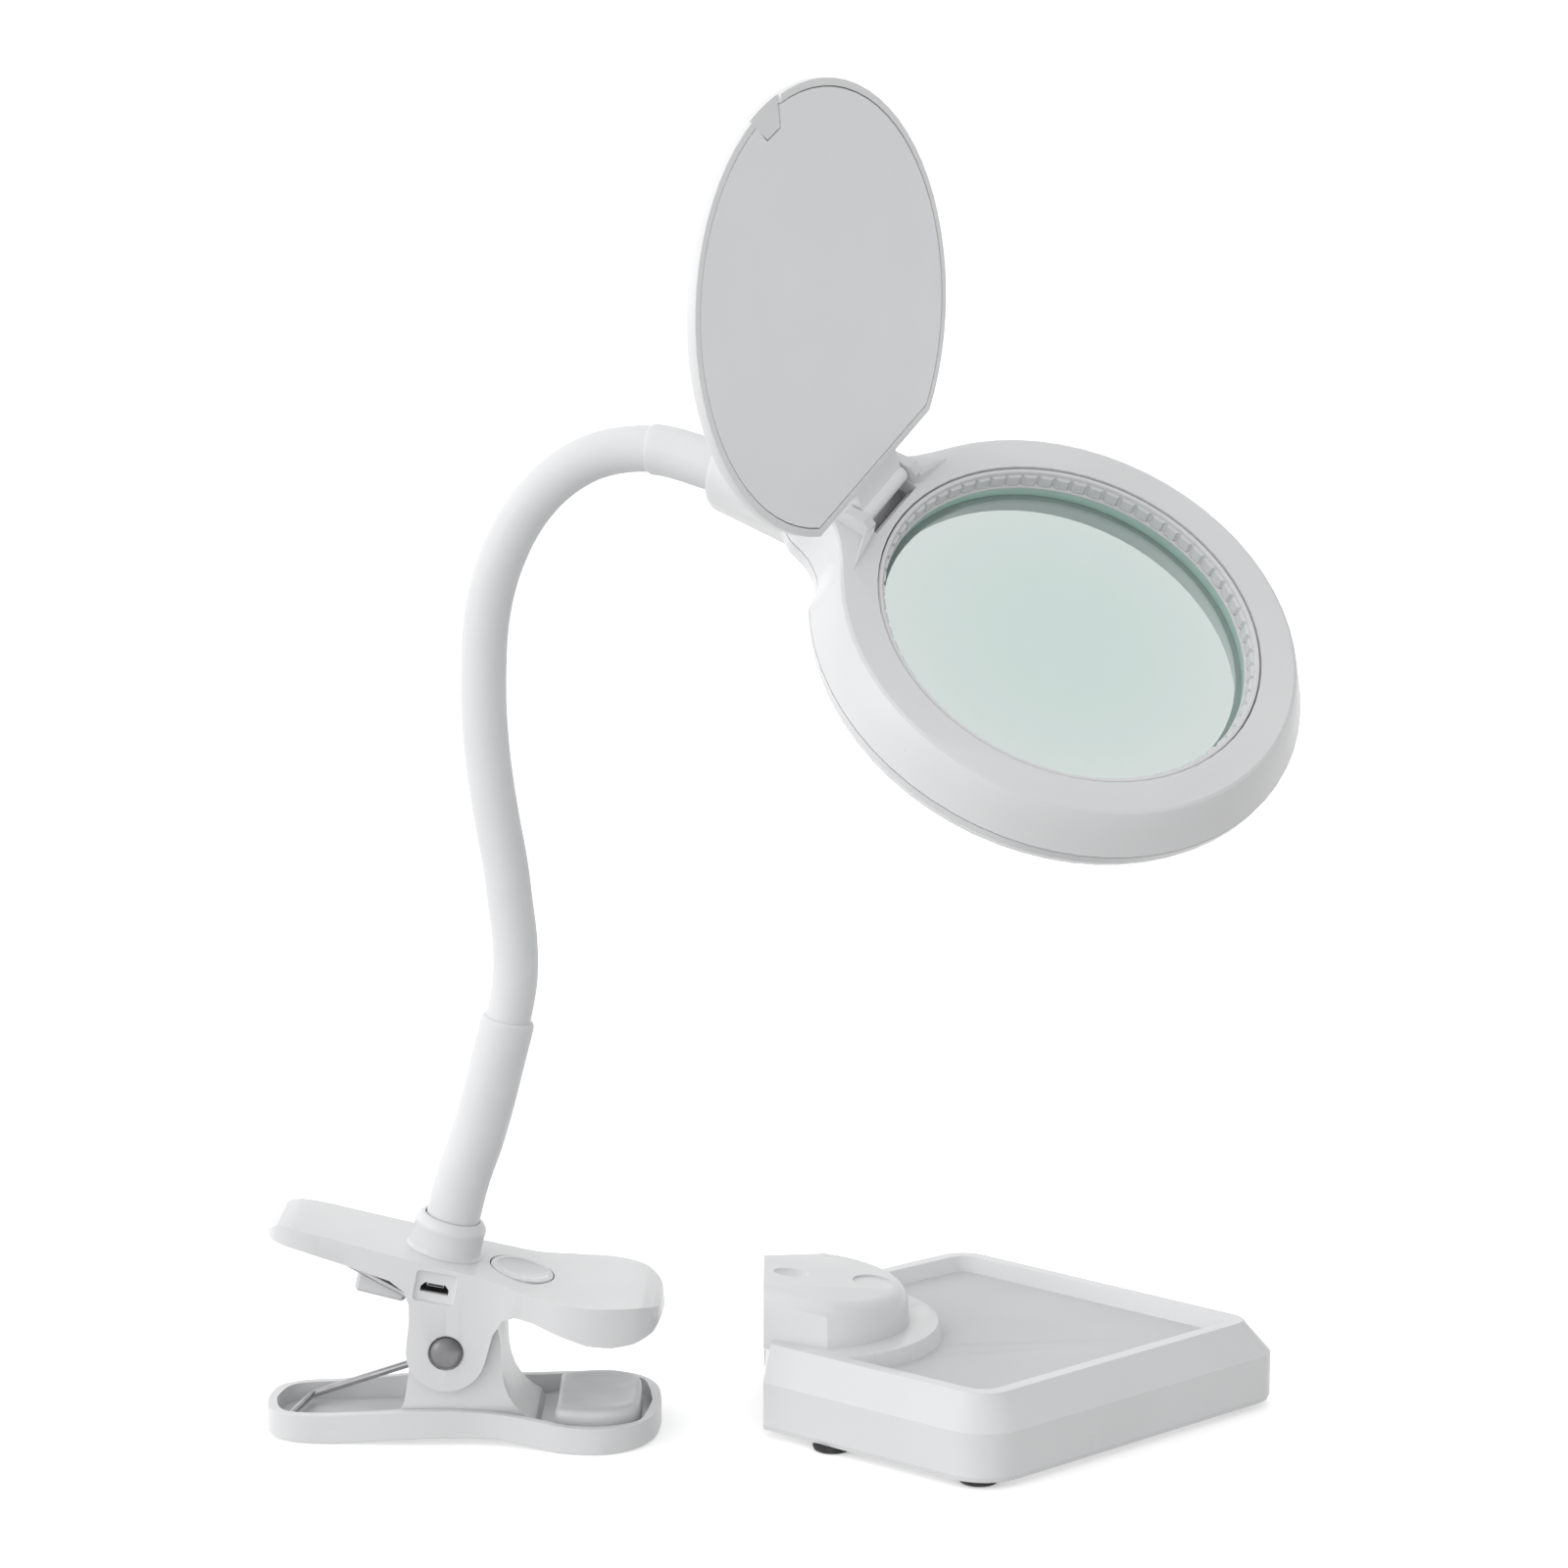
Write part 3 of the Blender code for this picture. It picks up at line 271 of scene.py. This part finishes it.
def circuit_board():
    look = Look("circuit_board", (0.045, 0.20, 0.085), 0.42)
    traces = look.noise(1.5, 2, 0.4, look.stretched((3, 1, 1)))
    look.tint(traces, (0.07, 0.27, 0.12), 0.5, 0.54)
    look.gloss(look.noise(3, 3), 0.35, 0.5)
    look.bump(look.noise(0.8, 2), 0.01, 0.5)
    return look.mat


def frosted_plastic():
    look = Look("frosted_plastic", (0.86, 0.87, 0.87), 0.55, Transmission_Weight=0.35, IOR=1.49)
    look.gloss(look.noise(2, 3), 0.5, 0.62)
    look.tint(look.noise(12, 3), (0.82, 0.83, 0.83))
    look.bump(look.noise(0.25, 3), 0.01, 0.6)
    return look.mat


def button_plastic():
    look = Look("button_plastic", (0.60, 0.604, 0.615), 0.2, Coat_Weight=0.4, Coat_Roughness=0.05)
    look.tint(look.noise(14, 2), (0.57, 0.574, 0.585))
    look.gloss(look.noise(6, 3), 0.18, 0.27)
    look.bump(look.noise(0.6, 2), 0.003, 0.5)
    return look.mat


def lens_edge_painted_light():
    """The lens's ground rim, painted a bright pale teal that stands in for light carried through the
    green glass.
    """
    look = Look("lens_edge_painted_light", (0.78, 0.95, 0.89), 0.45)
    look.tint(look.noise(8, 2), (0.82, 0.97, 0.92))
    look.gloss(look.noise(3, 3), 0.38, 0.55)
    look.bump(look.noise(0.4, 3), 0.006, 0.5)
    return look.mat


def lens_glass():
    """Greenish glass: the tone deepens with the thickness, and faint smears dull the polish."""
    look = Look("lens_glass", (0.56, 0.572, 0.568), 0.0, Transmission_Weight=1.0, IOR=1.14)
    look.gloss(look.noise(11, 5, 0.7), 0.0, 0.03, 0.45, 0.75)
    absorb = look.tree.nodes.new("ShaderNodeVolumeAbsorption")
    look.set(absorb, "Color", (0.50, 0.86, 0.77, 1.0))
    look.set(absorb, "Density", 38.0)
    look.link(absorb.outputs["Volume"], look.tree.nodes["Material Output"].inputs["Volume"])
    return look.mat


def make_materials():
    return {
        "white_gloss_plastic": moulded("white_abs", (0.69, 0.694, 0.702), 0.3, 0.1),
        # This darker white is also laid on the base tray's floor as painted shade.
        "white_matt_plastic": moulded("white_abs_matt", (0.57, 0.574, 0.582), 0.5),
        "white_lid_plastic": moulded("white_lid_abs", (0.80, 0.804, 0.812), 0.4),
        # Painted light: the lens barrel gets a brighter, greenish white so its wall seen through the
        # lens looks lit.
        "barrel_painted_light_plastic": moulded("barrel_abs_painted_light", (0.90, 0.95, 0.94), 0.45),
        "white_ring_plastic": moulded("white_ring_abs", (0.68, 0.682, 0.69), 0.4),
        "grey_panel_plastic": grey_panel(),
        "neck_sleeve": neck_sleeve(),
        "white_rubber": white_rubber(),
        "black_rubber": black_rubber(),
        "black_plastic": black_plastic(),
        "steel": steel(),
        "satin_chrome": satin_chrome(),
        "bright_wire": bright_wire(),
        "circuit_board": circuit_board(),
        "frosted_plastic": frosted_plastic(),
        "button_plastic": button_plastic(),
        "lens_edge_painted_light": lens_edge_painted_light(),
        "lens_glass": lens_glass(),
    }


# ---------------------------------------------------------------- mesh helpers

def rounded(node, mat, width_mm=0.0):
    """A welded, smooth-shaded copy of a CAD node that stands for it, with its hard edges eased."""
    source = NODES[node]
    bm = bmesh.new()
    bm.from_mesh(source.data)
    bmesh.ops.remove_doubles(bm, verts=bm.verts, dist=0.000002)
    bmesh.ops.dissolve_limit(bm, angle_limit=math.radians(0.6), verts=bm.verts, edges=bm.edges)
    mesh = bpy.data.meshes.new(node + "_skin")
    bm.to_mesh(mesh)
    bm.free()
    mesh.shade_smooth()
    mesh.set_sharp_from_angle(angle=math.radians(EASE_ANGLE))
    obj = bpy.data.objects.new(node + "_skin", mesh)
    bpy.context.scene.collection.objects.link(obj)
    mesh.materials.append(mat)
    if width_mm:
        mod = obj.modifiers.new("edges", "BEVEL")
        mod.width = width_mm * MM
        mod.segments = 2
        mod.limit_method = "ANGLE"
        mod.angle_limit = math.radians(EASE_ANGLE)
        mod.harden_normals = True
        mod.use_clamp_overlap = True
    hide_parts(node)
    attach(obj, source["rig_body"])
    return obj


def piece(name, bm, mat, body, replaces=(), smooth_angle=35):
    """An object of a finished mesh. A piece given no body is left unattached here."""
    bmesh.ops.recalc_face_normals(bm, faces=bm.faces)
    mesh = bpy.data.meshes.new(name)
    bm.to_mesh(mesh)
    bm.free()
    mesh.materials.append(mat)
    mesh.shade_smooth()
    mesh.set_sharp_from_angle(angle=math.radians(smooth_angle))
    obj = bpy.data.objects.new(name, mesh)
    bpy.context.scene.collection.objects.link(obj)
    if replaces:
        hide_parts(*replaces)
    if body:
        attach(obj, body)
    return obj


def head_matrix():
    """From the head's own axes, with Z out of its top face, to the frame's."""
    n = HEAD_N.normalized()
    h = n.cross(HEAD_U).normalized()
    turn = Matrix((h.cross(n), h, n)).transposed().to_4x4()
    return Matrix.Translation(HEAD_CENTRE) @ turn


def turns(count):
    """Angles of evenly spaced points round a circle."""
    return [2 * math.pi * k / count for k in range(count)]


def bridge(bm, rows):
    """Joins closed rows of points with quads, each row to the next."""
    for low, high in zip(rows, rows[1:]):
        for j in range(len(low)):
            k = (j + 1) % len(low)
            bm.faces.new((low[j], low[k], high[k], high[j]))


def section(bm, middle, across, up, radius, sides):
    """A circle of points round a middle."""
    return [bm.verts.new((middle + across * (radius * math.cos(t)) + up * (radius * math.sin(t))) * MM)
            for t in turns(sides)]


def smooth_route(points, per_span):
    """A smooth curve through points, with so many steps in each span."""
    pts = [Vector(p) for p in points]
    count = len(pts)
    out = []
    for i in range(count - 1):
        a, b, c, d = pts[max(i - 1, 0)], pts[i], pts[i + 1], pts[min(i + 2, count - 1)]
        for k in range(per_span):
            t = k / per_span
            out.append(0.5 * (2 * b + (c - a) * t + (2 * a - 5 * b + 4 * c - d) * t ** 2
                              + (3 * b - a - 3 * c + d) * t ** 3))
    out.append(pts[-1])
    return out


# ---------------------------------------------------------------- gooseneck

def measured(line):
    """Distance along a line at each of its points."""
    lengths = [0.0]
    for a, b in zip(line, line[1:]):
        lengths.append(lengths[-1] + (b - a).length)
    return lengths


def at(line, lengths, s):
    """The point a distance along a line."""
    for i in range(len(line) - 1):
        if lengths[i + 1] >= s:
            return line[i].lerp(line[i + 1], (s - lengths[i]) / (lengths[i + 1] - lengths[i]))
    return line[-1]


def sleeve_radius(s, mouth):
    """The sleeve's outer radius: a stiff stem with a lipped end, the flexible length, a stiff tail."""
    tail = mouth - TAIL_LENGTH
    if s < STEM_LENGTH:
        return STEM_R - 0.5 * max(0.0, 1 - (STEM_LENGTH - s) / SLEEVE_LIP) ** 2
    if s < tail:
        return FLEX_R
    return TAIL_R - 0.35 * max(0.0, 1 - (s - tail) / SLEEVE_LIP) ** 2


def neck_marks(start, end, mouth):
    """Distances for the neck's sections: even, and closer together at the ends of the stiff sleeves."""
    steps = max(8, int((end - start) / 1.6))
    marks = {start, end}
    marks |= {start + (end - start) * i / steps for i in range(steps + 1)}
    for edge in (STEM_LENGTH, mouth - TAIL_LENGTH):
        near = [edge + d for d in (-1.0, -0.6, -0.25, -0.02, 0.02, 0.3, 0.6, 1.0)]
        marks |= {s for s in near if start < s < end}
    return sorted(marks)


def neck_section(bm, line, lengths, s, radius):
    """A circle of points square to the neck, a distance along it."""
    side = Vector((0, 1, 0))
    along = (at(line, lengths, s + 1.5) - at(line, lengths, s - 1.5)).normalized()
    across = (side - along * side.dot(along)).normalized()
    return section(bm, at(line, lengths, s), across, along.cross(across), radius, NECK_SIDES)


def make_neck(mat):
    """One skin from joint to joint: each piece runs from mid link to mid link, across its joint."""
    line = smooth_route(NECK_ROUTE, 6)
    mouth = measured(line)[-1]
    inward = (head_matrix().to_3x3() @ SOCKET_IN).normalized()
    line.append(line[-1] + inward * SOCKET_DEPTH)
    lengths = measured(line)
    stations = [STEM_LENGTH + s for s in NECK_STATIONS]
    middles = [0.5] + [(a + b) / 2 for a, b in zip(stations, stations[1:])] + [lengths[-1] - 0.5]
    last = len(stations) - 1
    for k, station in enumerate(stations):
        start, end = middles[k], middles[k + 1]
        bm = bmesh.new()
        rows = [neck_section(bm, line, lengths, s, sleeve_radius(s, mouth))
                for s in neck_marks(start, end, mouth)]
        bridge(bm, rows)
        nodes = [f"neck_segment_{k + 1}"]
        if k == 0:
            bm.faces.new(rows[0])
        if k == last:
            bm.faces.new(rows[-1])
            nodes.append(f"neck_segment_{k + 2}")
        skin = piece(f"neck_skin_{k + 1}", bm, mat, None, nodes, 50)
        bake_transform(skin)


# ---------------------------------------------------------------- finer skins of CAD pieces

def turned(bm, profile, steps, place):
    """Spins a closed radius and height outline round an axis."""
    rows = [[bm.verts.new(place @ (Vector((r * math.cos(t), r * math.sin(t), z)) * MM))
             for r, z in profile] for t in turns(steps)]
    bridge(bm, rows + rows[:1])


def make_lens_ring(mat):
    """The ring that holds the lens, with a row of shallow tabs round its inner wall."""
    outline = [(44.6, -4.8), (44.6, -0.6), (44.3, -0.32), (43.7, -0.32), (43.5, -0.6), (43.5, -1.4)]
    wall = [(43.5, -1.5), (43.5, -4.1)]
    foot = [(43.3, -4.25), (42.4, -4.5), (42.4, -4.8)]
    bm = bmesh.new()
    rows = []
    for k, t in enumerate(turns(RING_TABS * RING_TAB_SAMPLES)):
        rise = 0.0 if k % RING_TAB_SAMPLES < 2 else RING_TAB_RISE
        profile = outline + [(r - rise, z) for r, z in wall] + foot
        rows.append([bm.verts.new((r * MM * math.cos(t), r * MM * math.sin(t), z * MM))
                     for r, z in profile])
    bridge(bm, rows + rows[:1])
    bmesh.ops.transform(bm, matrix=head_matrix(), verts=bm.verts)
    piece("lens_ring_skin", bm, mat, "head", ["lens_ring"], 30)


def round_bar(bm, line, radius, sides):
    """Skins a round bar along a row of points, its section carried along without twist."""
    rows = []
    across = None
    for i, p in enumerate(line):
        along = (line[min(i + 1, len(line) - 1)] - line[max(i - 1, 0)]).normalized()
        if across is None:
            across = along.orthogonal().normalized()
        across = (across - along * across.dot(along)).normalized()
        rows.append(section(bm, p, across, along.cross(across), radius, sides))
    bridge(bm, rows)
    bm.faces.new(rows[0])
    bm.faces.new(rows[-1])


def spring_line():
    """Middle line of the spring's wire: upper leg, coil, lower leg and the crossbar at its end."""
    up = Vector((-0.872, 0.0, 0.4895))
    down = Vector((-0.95, 0.0, -0.3122))
    start = math.atan2(up.z, -up.x)
    end = math.atan2(-down.z, down.x) + 2 * math.pi * COIL_TURNS
    coil = []
    steps = 28 * COIL_TURNS
    for i in range(steps + 1):
        angle = start + (end - start) * i / steps
        coil.append(Vector((COIL_R * math.sin(angle), COIL_HALF * (2 * i / steps - 1),
                            PIVOT_Z + COIL_R * math.cos(angle))))
    heel = coil[-1] + down * LOWER_LEG
    tip = Vector((heel.x - 3.6, -COIL_HALF, heel.z))
    cross = (tip - heel).normalized()
    bend = [heel - down * 1.6, heel - down * 0.5 + cross * 0.35, heel + cross * 1.6]
    upper_leg = [coil[0] + up * t for t in (34, 20, 8, 2)]
    lower_leg = [coil[-1] + down * t for t in (2, 8, 20)]
    return upper_leg + coil + lower_leg + bend + [tip]


def make_spring(mat):
    """The clamp's torsion spring, which winds up as the jaws open."""
    bm = bmesh.new()
    round_bar(bm, spring_line(), WIRE_R, 16)
    spring = piece("torsion_spring_wire", bm, mat, None, ["torsion_spring"], 60)
    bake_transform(spring)


def make_collar(mat):
    """The collar at the neck's foot, with a skirt that runs out onto the jaw's sloping top."""
    foot = Matrix.Translation(Vector((-1.3, 0.0, 44.33)) * MM)
    lean = Matrix.Rotation(math.radians(14.4), 4, "Y")
    profile = [(6.75, 0.05), (9.4, 0.05), (9.05, 0.2), (8.8, 0.6), (8.7, 1.2), (8.6, 5.6),
               (8.75, 5.9), (8.75, 7.0), (8.55, 7.4), (7.6, 8.5), (7.2, 8.6), (6.75, 8.6)]
    bm = bmesh.new()
    turned(bm, profile, 64, foot @ lean)
    piece("neck_collar_skin", bm, mat, "upper_clamp", ["neck_collar"], 38)


def pad_outline(back, front, half):
    """Plan of the pad, straight at the back and barrel-shaped along its sides."""
    side = [(back, half - 3.0), (back + 2.0, half - 1.4), (back + 8.5, half), (front - 6.4, half - 0.4),
            (front - 2.0, half - 3.2), (front - 0.4, half - 7.0), (front, 0)]
    back_edge = [Vector((back, y, 0)) for y in (2.6, 5.2, 7.8, 10.4)]
    line = back_edge + smooth_route([(x, y, 0) for x, y in side], 6)
    return [Vector((back, 0, 0))] + line + [Vector((p.x, -p.y, 0)) for p in reversed(line[:-1])]


def make_pad(mat):
    """The soft block on the lower jaw: barrel-sided, with a dished top inside a raised rounded lip."""
    outline = pad_outline(25.8, 46.2, 16.0)
    middle = Vector((36.0, 0.0, 0.0))
    levels = [(0.01, 2.9), (0.0, 3.3), (0.0, 6.9), (0.015, 7.8), (0.05, 8.5), (0.11, 8.9), (0.17, 8.9),
              (0.26, 8.55), (0.38, 8.15), (0.55, 7.85), (0.75, 7.7), (0.9, 7.66)]
    bm = bmesh.new()
    rows = []
    for drawn_in, z in levels:
        flat = [p.lerp(middle, drawn_in) for p in outline]
        rows.append([bm.verts.new(Vector((p.x, p.y, z)) * MM) for p in flat])
    bridge(bm, rows)
    bm.faces.new(rows[0])
    top = bm.verts.new(Vector((middle.x, 0, 7.65)) * MM)
    inner = rows[-1]
    for k, vert in enumerate(inner):
        bm.faces.new((vert, inner[(k + 1) % len(inner)], top))
    piece("lower_jaw_pad_skin", bm, mat, "lower_clamp", ["lower_jaw_pad"], 60)


def make_port_insert(mat):
    """Black moulding inside the power socket's mouth, with its tongue."""
    low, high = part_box("usb_socket")
    middle = (low + high) / 2
    front = low.y + 0.2 * MM
    back_plate = ((6.4, 0.4, 2.1), (0, 3.4, 0))
    tongue = ((3.7, 3.2, 0.45), (0, 1.9, 0.15))
    bm = bmesh.new()
    for size, where in (back_plate, tongue):
        block = bmesh.ops.create_cube(bm, size=MM)["verts"]
        bmesh.ops.scale(bm, vec=size, verts=block)
        bmesh.ops.translate(bm, vec=Vector(where) * MM, verts=block)
    place = Matrix.Translation((middle.x, front, middle.z)) @ Matrix.Rotation(math.radians(11), 4, "Y")
    bmesh.ops.transform(bm, matrix=place, verts=bm.verts)
    piece("usb_insert", bm, mat, "upper_clamp")


def cross_recess(bm, rim, radius, height):
    """Closes a screw head's rim with a cross-shaped pit."""
    inner = []
    for k, t in enumerate(turns(SCREW_SIDES)):
        reach = radius * (0.6 if k % 8 in (0, 1, 7) else 0.22)
        inner.append(bm.verts.new((reach * math.cos(t), reach * math.sin(t), height)))
    pit = [bm.verts.new((v.co.x * 0.7, v.co.y * 0.7, v.co.z + radius * 0.45)) for v in inner]
    bridge(bm, [rim, inner, pit])
    bm.faces.new(pit)


def make_screw(node, mat, down):
    """A cross-recessed screw that stands for a plain CAD screw; down is the way its head faces."""
    low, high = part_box(node)
    body = NODES[node]["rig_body"]
    middle = (low + high) / 2
    radius, length = [size * MM for size in (HEAD_SCREW if body == "head" else BASE_SCREW)]
    bm = bmesh.new()
    levels = [(0.9, 0.5), (1.0, 0.35), (1.0, -0.40), (0.88, -0.5)]
    rows = [[bm.verts.new((radius * r * math.cos(t), radius * r * math.sin(t), length * z))
             for t in turns(SCREW_SIDES)] for r, z in levels]
    bridge(bm, rows)
    bm.faces.new(rows[0])
    cross_recess(bm, rows[-1], radius, length * -0.5)
    aim = Vector((0, 0, -1)).rotation_difference(down).to_matrix().to_4x4()
    bmesh.ops.transform(bm, matrix=Matrix.Translation(middle) @ aim, verts=bm.verts)
    piece(node + "_cross", bm, mat, body, [node], 30)


# ---------------------------------------------------------------- stage

def make_stage():
    """A white sheet that sends no diffuse light back, in a white room with two soft lamps."""
    bpy.ops.mesh.primitive_plane_add(size=30.0, location=(0.08, 0.0, -0.0002))
    floor = bpy.context.object
    floor.name = "floor"
    look = Look("floor_paper", (0.93, 0.93, 0.93), 0.85,
                Emission_Color=(1.0, 1.0, 1.0, 1.0), Emission_Strength=0.35)
    look.tint(look.noise(60, 2), (0.92, 0.92, 0.92))
    look.bump(look.noise(0.8, 2), 0.01, 0.3)
    floor.data.materials.append(look.mat)
    floor.visible_diffuse = False
    bpy.context.scene.view_settings.view_transform = "Standard"
    studio_world()
    area_light("key", where=(-1.0, -0.55, 0.55), target=(0.05, 0.0, 0.14), size=0.7, power=1.6)
    top = area_light("top", where=(-0.1, 0.1, 1.25), target=(0.1, 0.0, 0.1), size=0.8, power=1.0)
    top.visible_glossy = False


def studio_world():
    """A white room: bright at the left, dimmer at the right and below, a little dimmer overhead."""
    world = bpy.data.worlds.new("studio")
    world.use_nodes = True
    tree = world.node_tree
    coord = tree.nodes.new("ShaderNodeTexCoord")
    split = tree.nodes.new("ShaderNodeSeparateXYZ")
    tree.links.new(coord.outputs["Generated"], split.inputs[0])
    left_to_right = ramp(tree, split.outputs["X"], -0.9, 0.9, 1.57, 0.74)
    below = ramp(tree, split.outputs["Z"], -0.5, -0.05, 0.45, 1.0)
    overhead = ramp(tree, split.outputs["Z"], 0.1, 0.9, 1.0, 0.8)
    strength = product(tree, product(tree, left_to_right, below), overhead)
    background = tree.nodes["Background"]
    tree.links.new(strength, background.inputs["Strength"])
    background.inputs["Color"].default_value = (1.0, 1.0, 1.0, 1.0)
    bpy.context.scene.world = world


def ramp(tree, value, low, high, out_low, out_high):
    """Turns the range from low to high into another range, eased at both ends."""
    node = tree.nodes.new("ShaderNodeMapRange")
    node.interpolation_type = "SMOOTHSTEP"
    node.inputs["From Min"].default_value = low
    node.inputs["From Max"].default_value = high
    node.inputs["To Min"].default_value = out_low
    node.inputs["To Max"].default_value = out_high
    tree.links.new(value, node.inputs["Value"])
    return node.outputs["Result"]


def product(tree, first, second):
    node = tree.nodes.new("ShaderNodeMath")
    node.operation = "MULTIPLY"
    tree.links.new(first, node.inputs[0])
    tree.links.new(second, node.inputs[1])
    return node.outputs[0]


def area_light(name, where, target, size, power):
    data = bpy.data.lights.new(name, "AREA")
    data.size = size
    data.energy = power
    obj = bpy.data.objects.new(name, data)
    obj.location = where
    obj.rotation_euler = (Vector(target) - Vector(where)).to_track_quat("-Z", "Y").to_euler()
    bpy.context.scene.collection.objects.link(obj)
    return obj


def make_camera():
    """A long lens in front of the clamp, looking slightly down."""
    data = bpy.data.cameras.new("camera")
    data.lens = 85.0
    data.sensor_width = 36.0
    data.clip_start = 0.01
    obj = bpy.data.objects.new("camera", data)
    obj.location = (0.0808, -0.862, 0.3105)
    obj.rotation_euler = (math.radians(80.0), 0.0, 0.0)
    bpy.context.scene.collection.objects.link(obj)
    bpy.context.scene.camera = obj


# ---------------------------------------------------------------- assembly

def second_look(skin, mat, picks):
    """Gives a second material to the faces that a test picks."""
    skin.data.materials.append(mat)
    for face in skin.data.polygons:
        face.material_index = int(picks(face))


def is_lens_edge(face):
    return abs(face.normal.dot(HEAD_N)) < 0.3


# Picks the faces of the tray's recessed floor, which get painted shade.
def is_tray_floor_for_painted_shade(face):
    return face.normal.z > 0.99 and face.center.z < TRAY_FLOOR_Z * MM + 0.0001


def make_finer_skins(mats):
    """Makes every skin that is more than an eased CAD node, and says which nodes they stand for."""
    make_neck(mats["neck_sleeve"])
    make_lens_ring(mats["white_ring_plastic"])
    make_spring(mats["bright_wire"])
    make_collar(mats["white_gloss_plastic"])
    make_pad(mats["white_rubber"])
    make_port_insert(mats["black_plastic"])
    screws = [node for node in SLOTS if "_screw_" in node]
    for node in screws:
        make_screw(node, mats["steel"], -HEAD_N if node.startswith("head") else Vector((0, 0, -1)))
    segments = [node for node in SLOTS if node.startswith("neck_segment")]
    return {"lens_ring", "torsion_spring", "neck_collar", "lower_jaw_pad", *screws, *segments}


def make_eased_skins(mats, nodes):
    """Eases the edges of CAD nodes and gives each the look of its slot, or one of its own."""
    eased = {"upper_jaw_shell": 0.4, "lower_jaw_shell": 0.35, "base_tray": 0.5, "head_top_housing": 0.35,
             "head_bottom_housing": 0.3, "lid_cover": 0.2, "switch_button": 0.25}
    # The lens barrel's own look is painted light: a brighter white standing in for light on its wall.
    own_look = {"switch_button": "button_plastic", "lens_barrel": "barrel_painted_light_plastic",
                "lid_cover": "white_lid_plastic"}
    for node in nodes:
        slot = SLOTS[node]
        skin = rounded(node, mats[own_look.get(node, slot)], eased.get(node, 0.0))
        if node == "lens":
            skin.visible_shadow = False
            # Painted light: the lens's side faces get a bright pale teal look standing in for light
            # carried through the glass.
            second_look(skin, mats["lens_edge_painted_light"], is_lens_edge)
        if node == "base_tray":
            # Painted shade: the tray's recessed floor gets the darker matt white, standing in for the
            # shade its walls cast.
            second_look(skin, mats["white_matt_plastic"], is_tray_floor_for_painted_shade)


def main():
    mats = make_materials()
    built = make_finer_skins(mats)
    make_eased_skins(mats, [node for node in SLOTS if node not in built])


main()
make_camera()
make_stage()
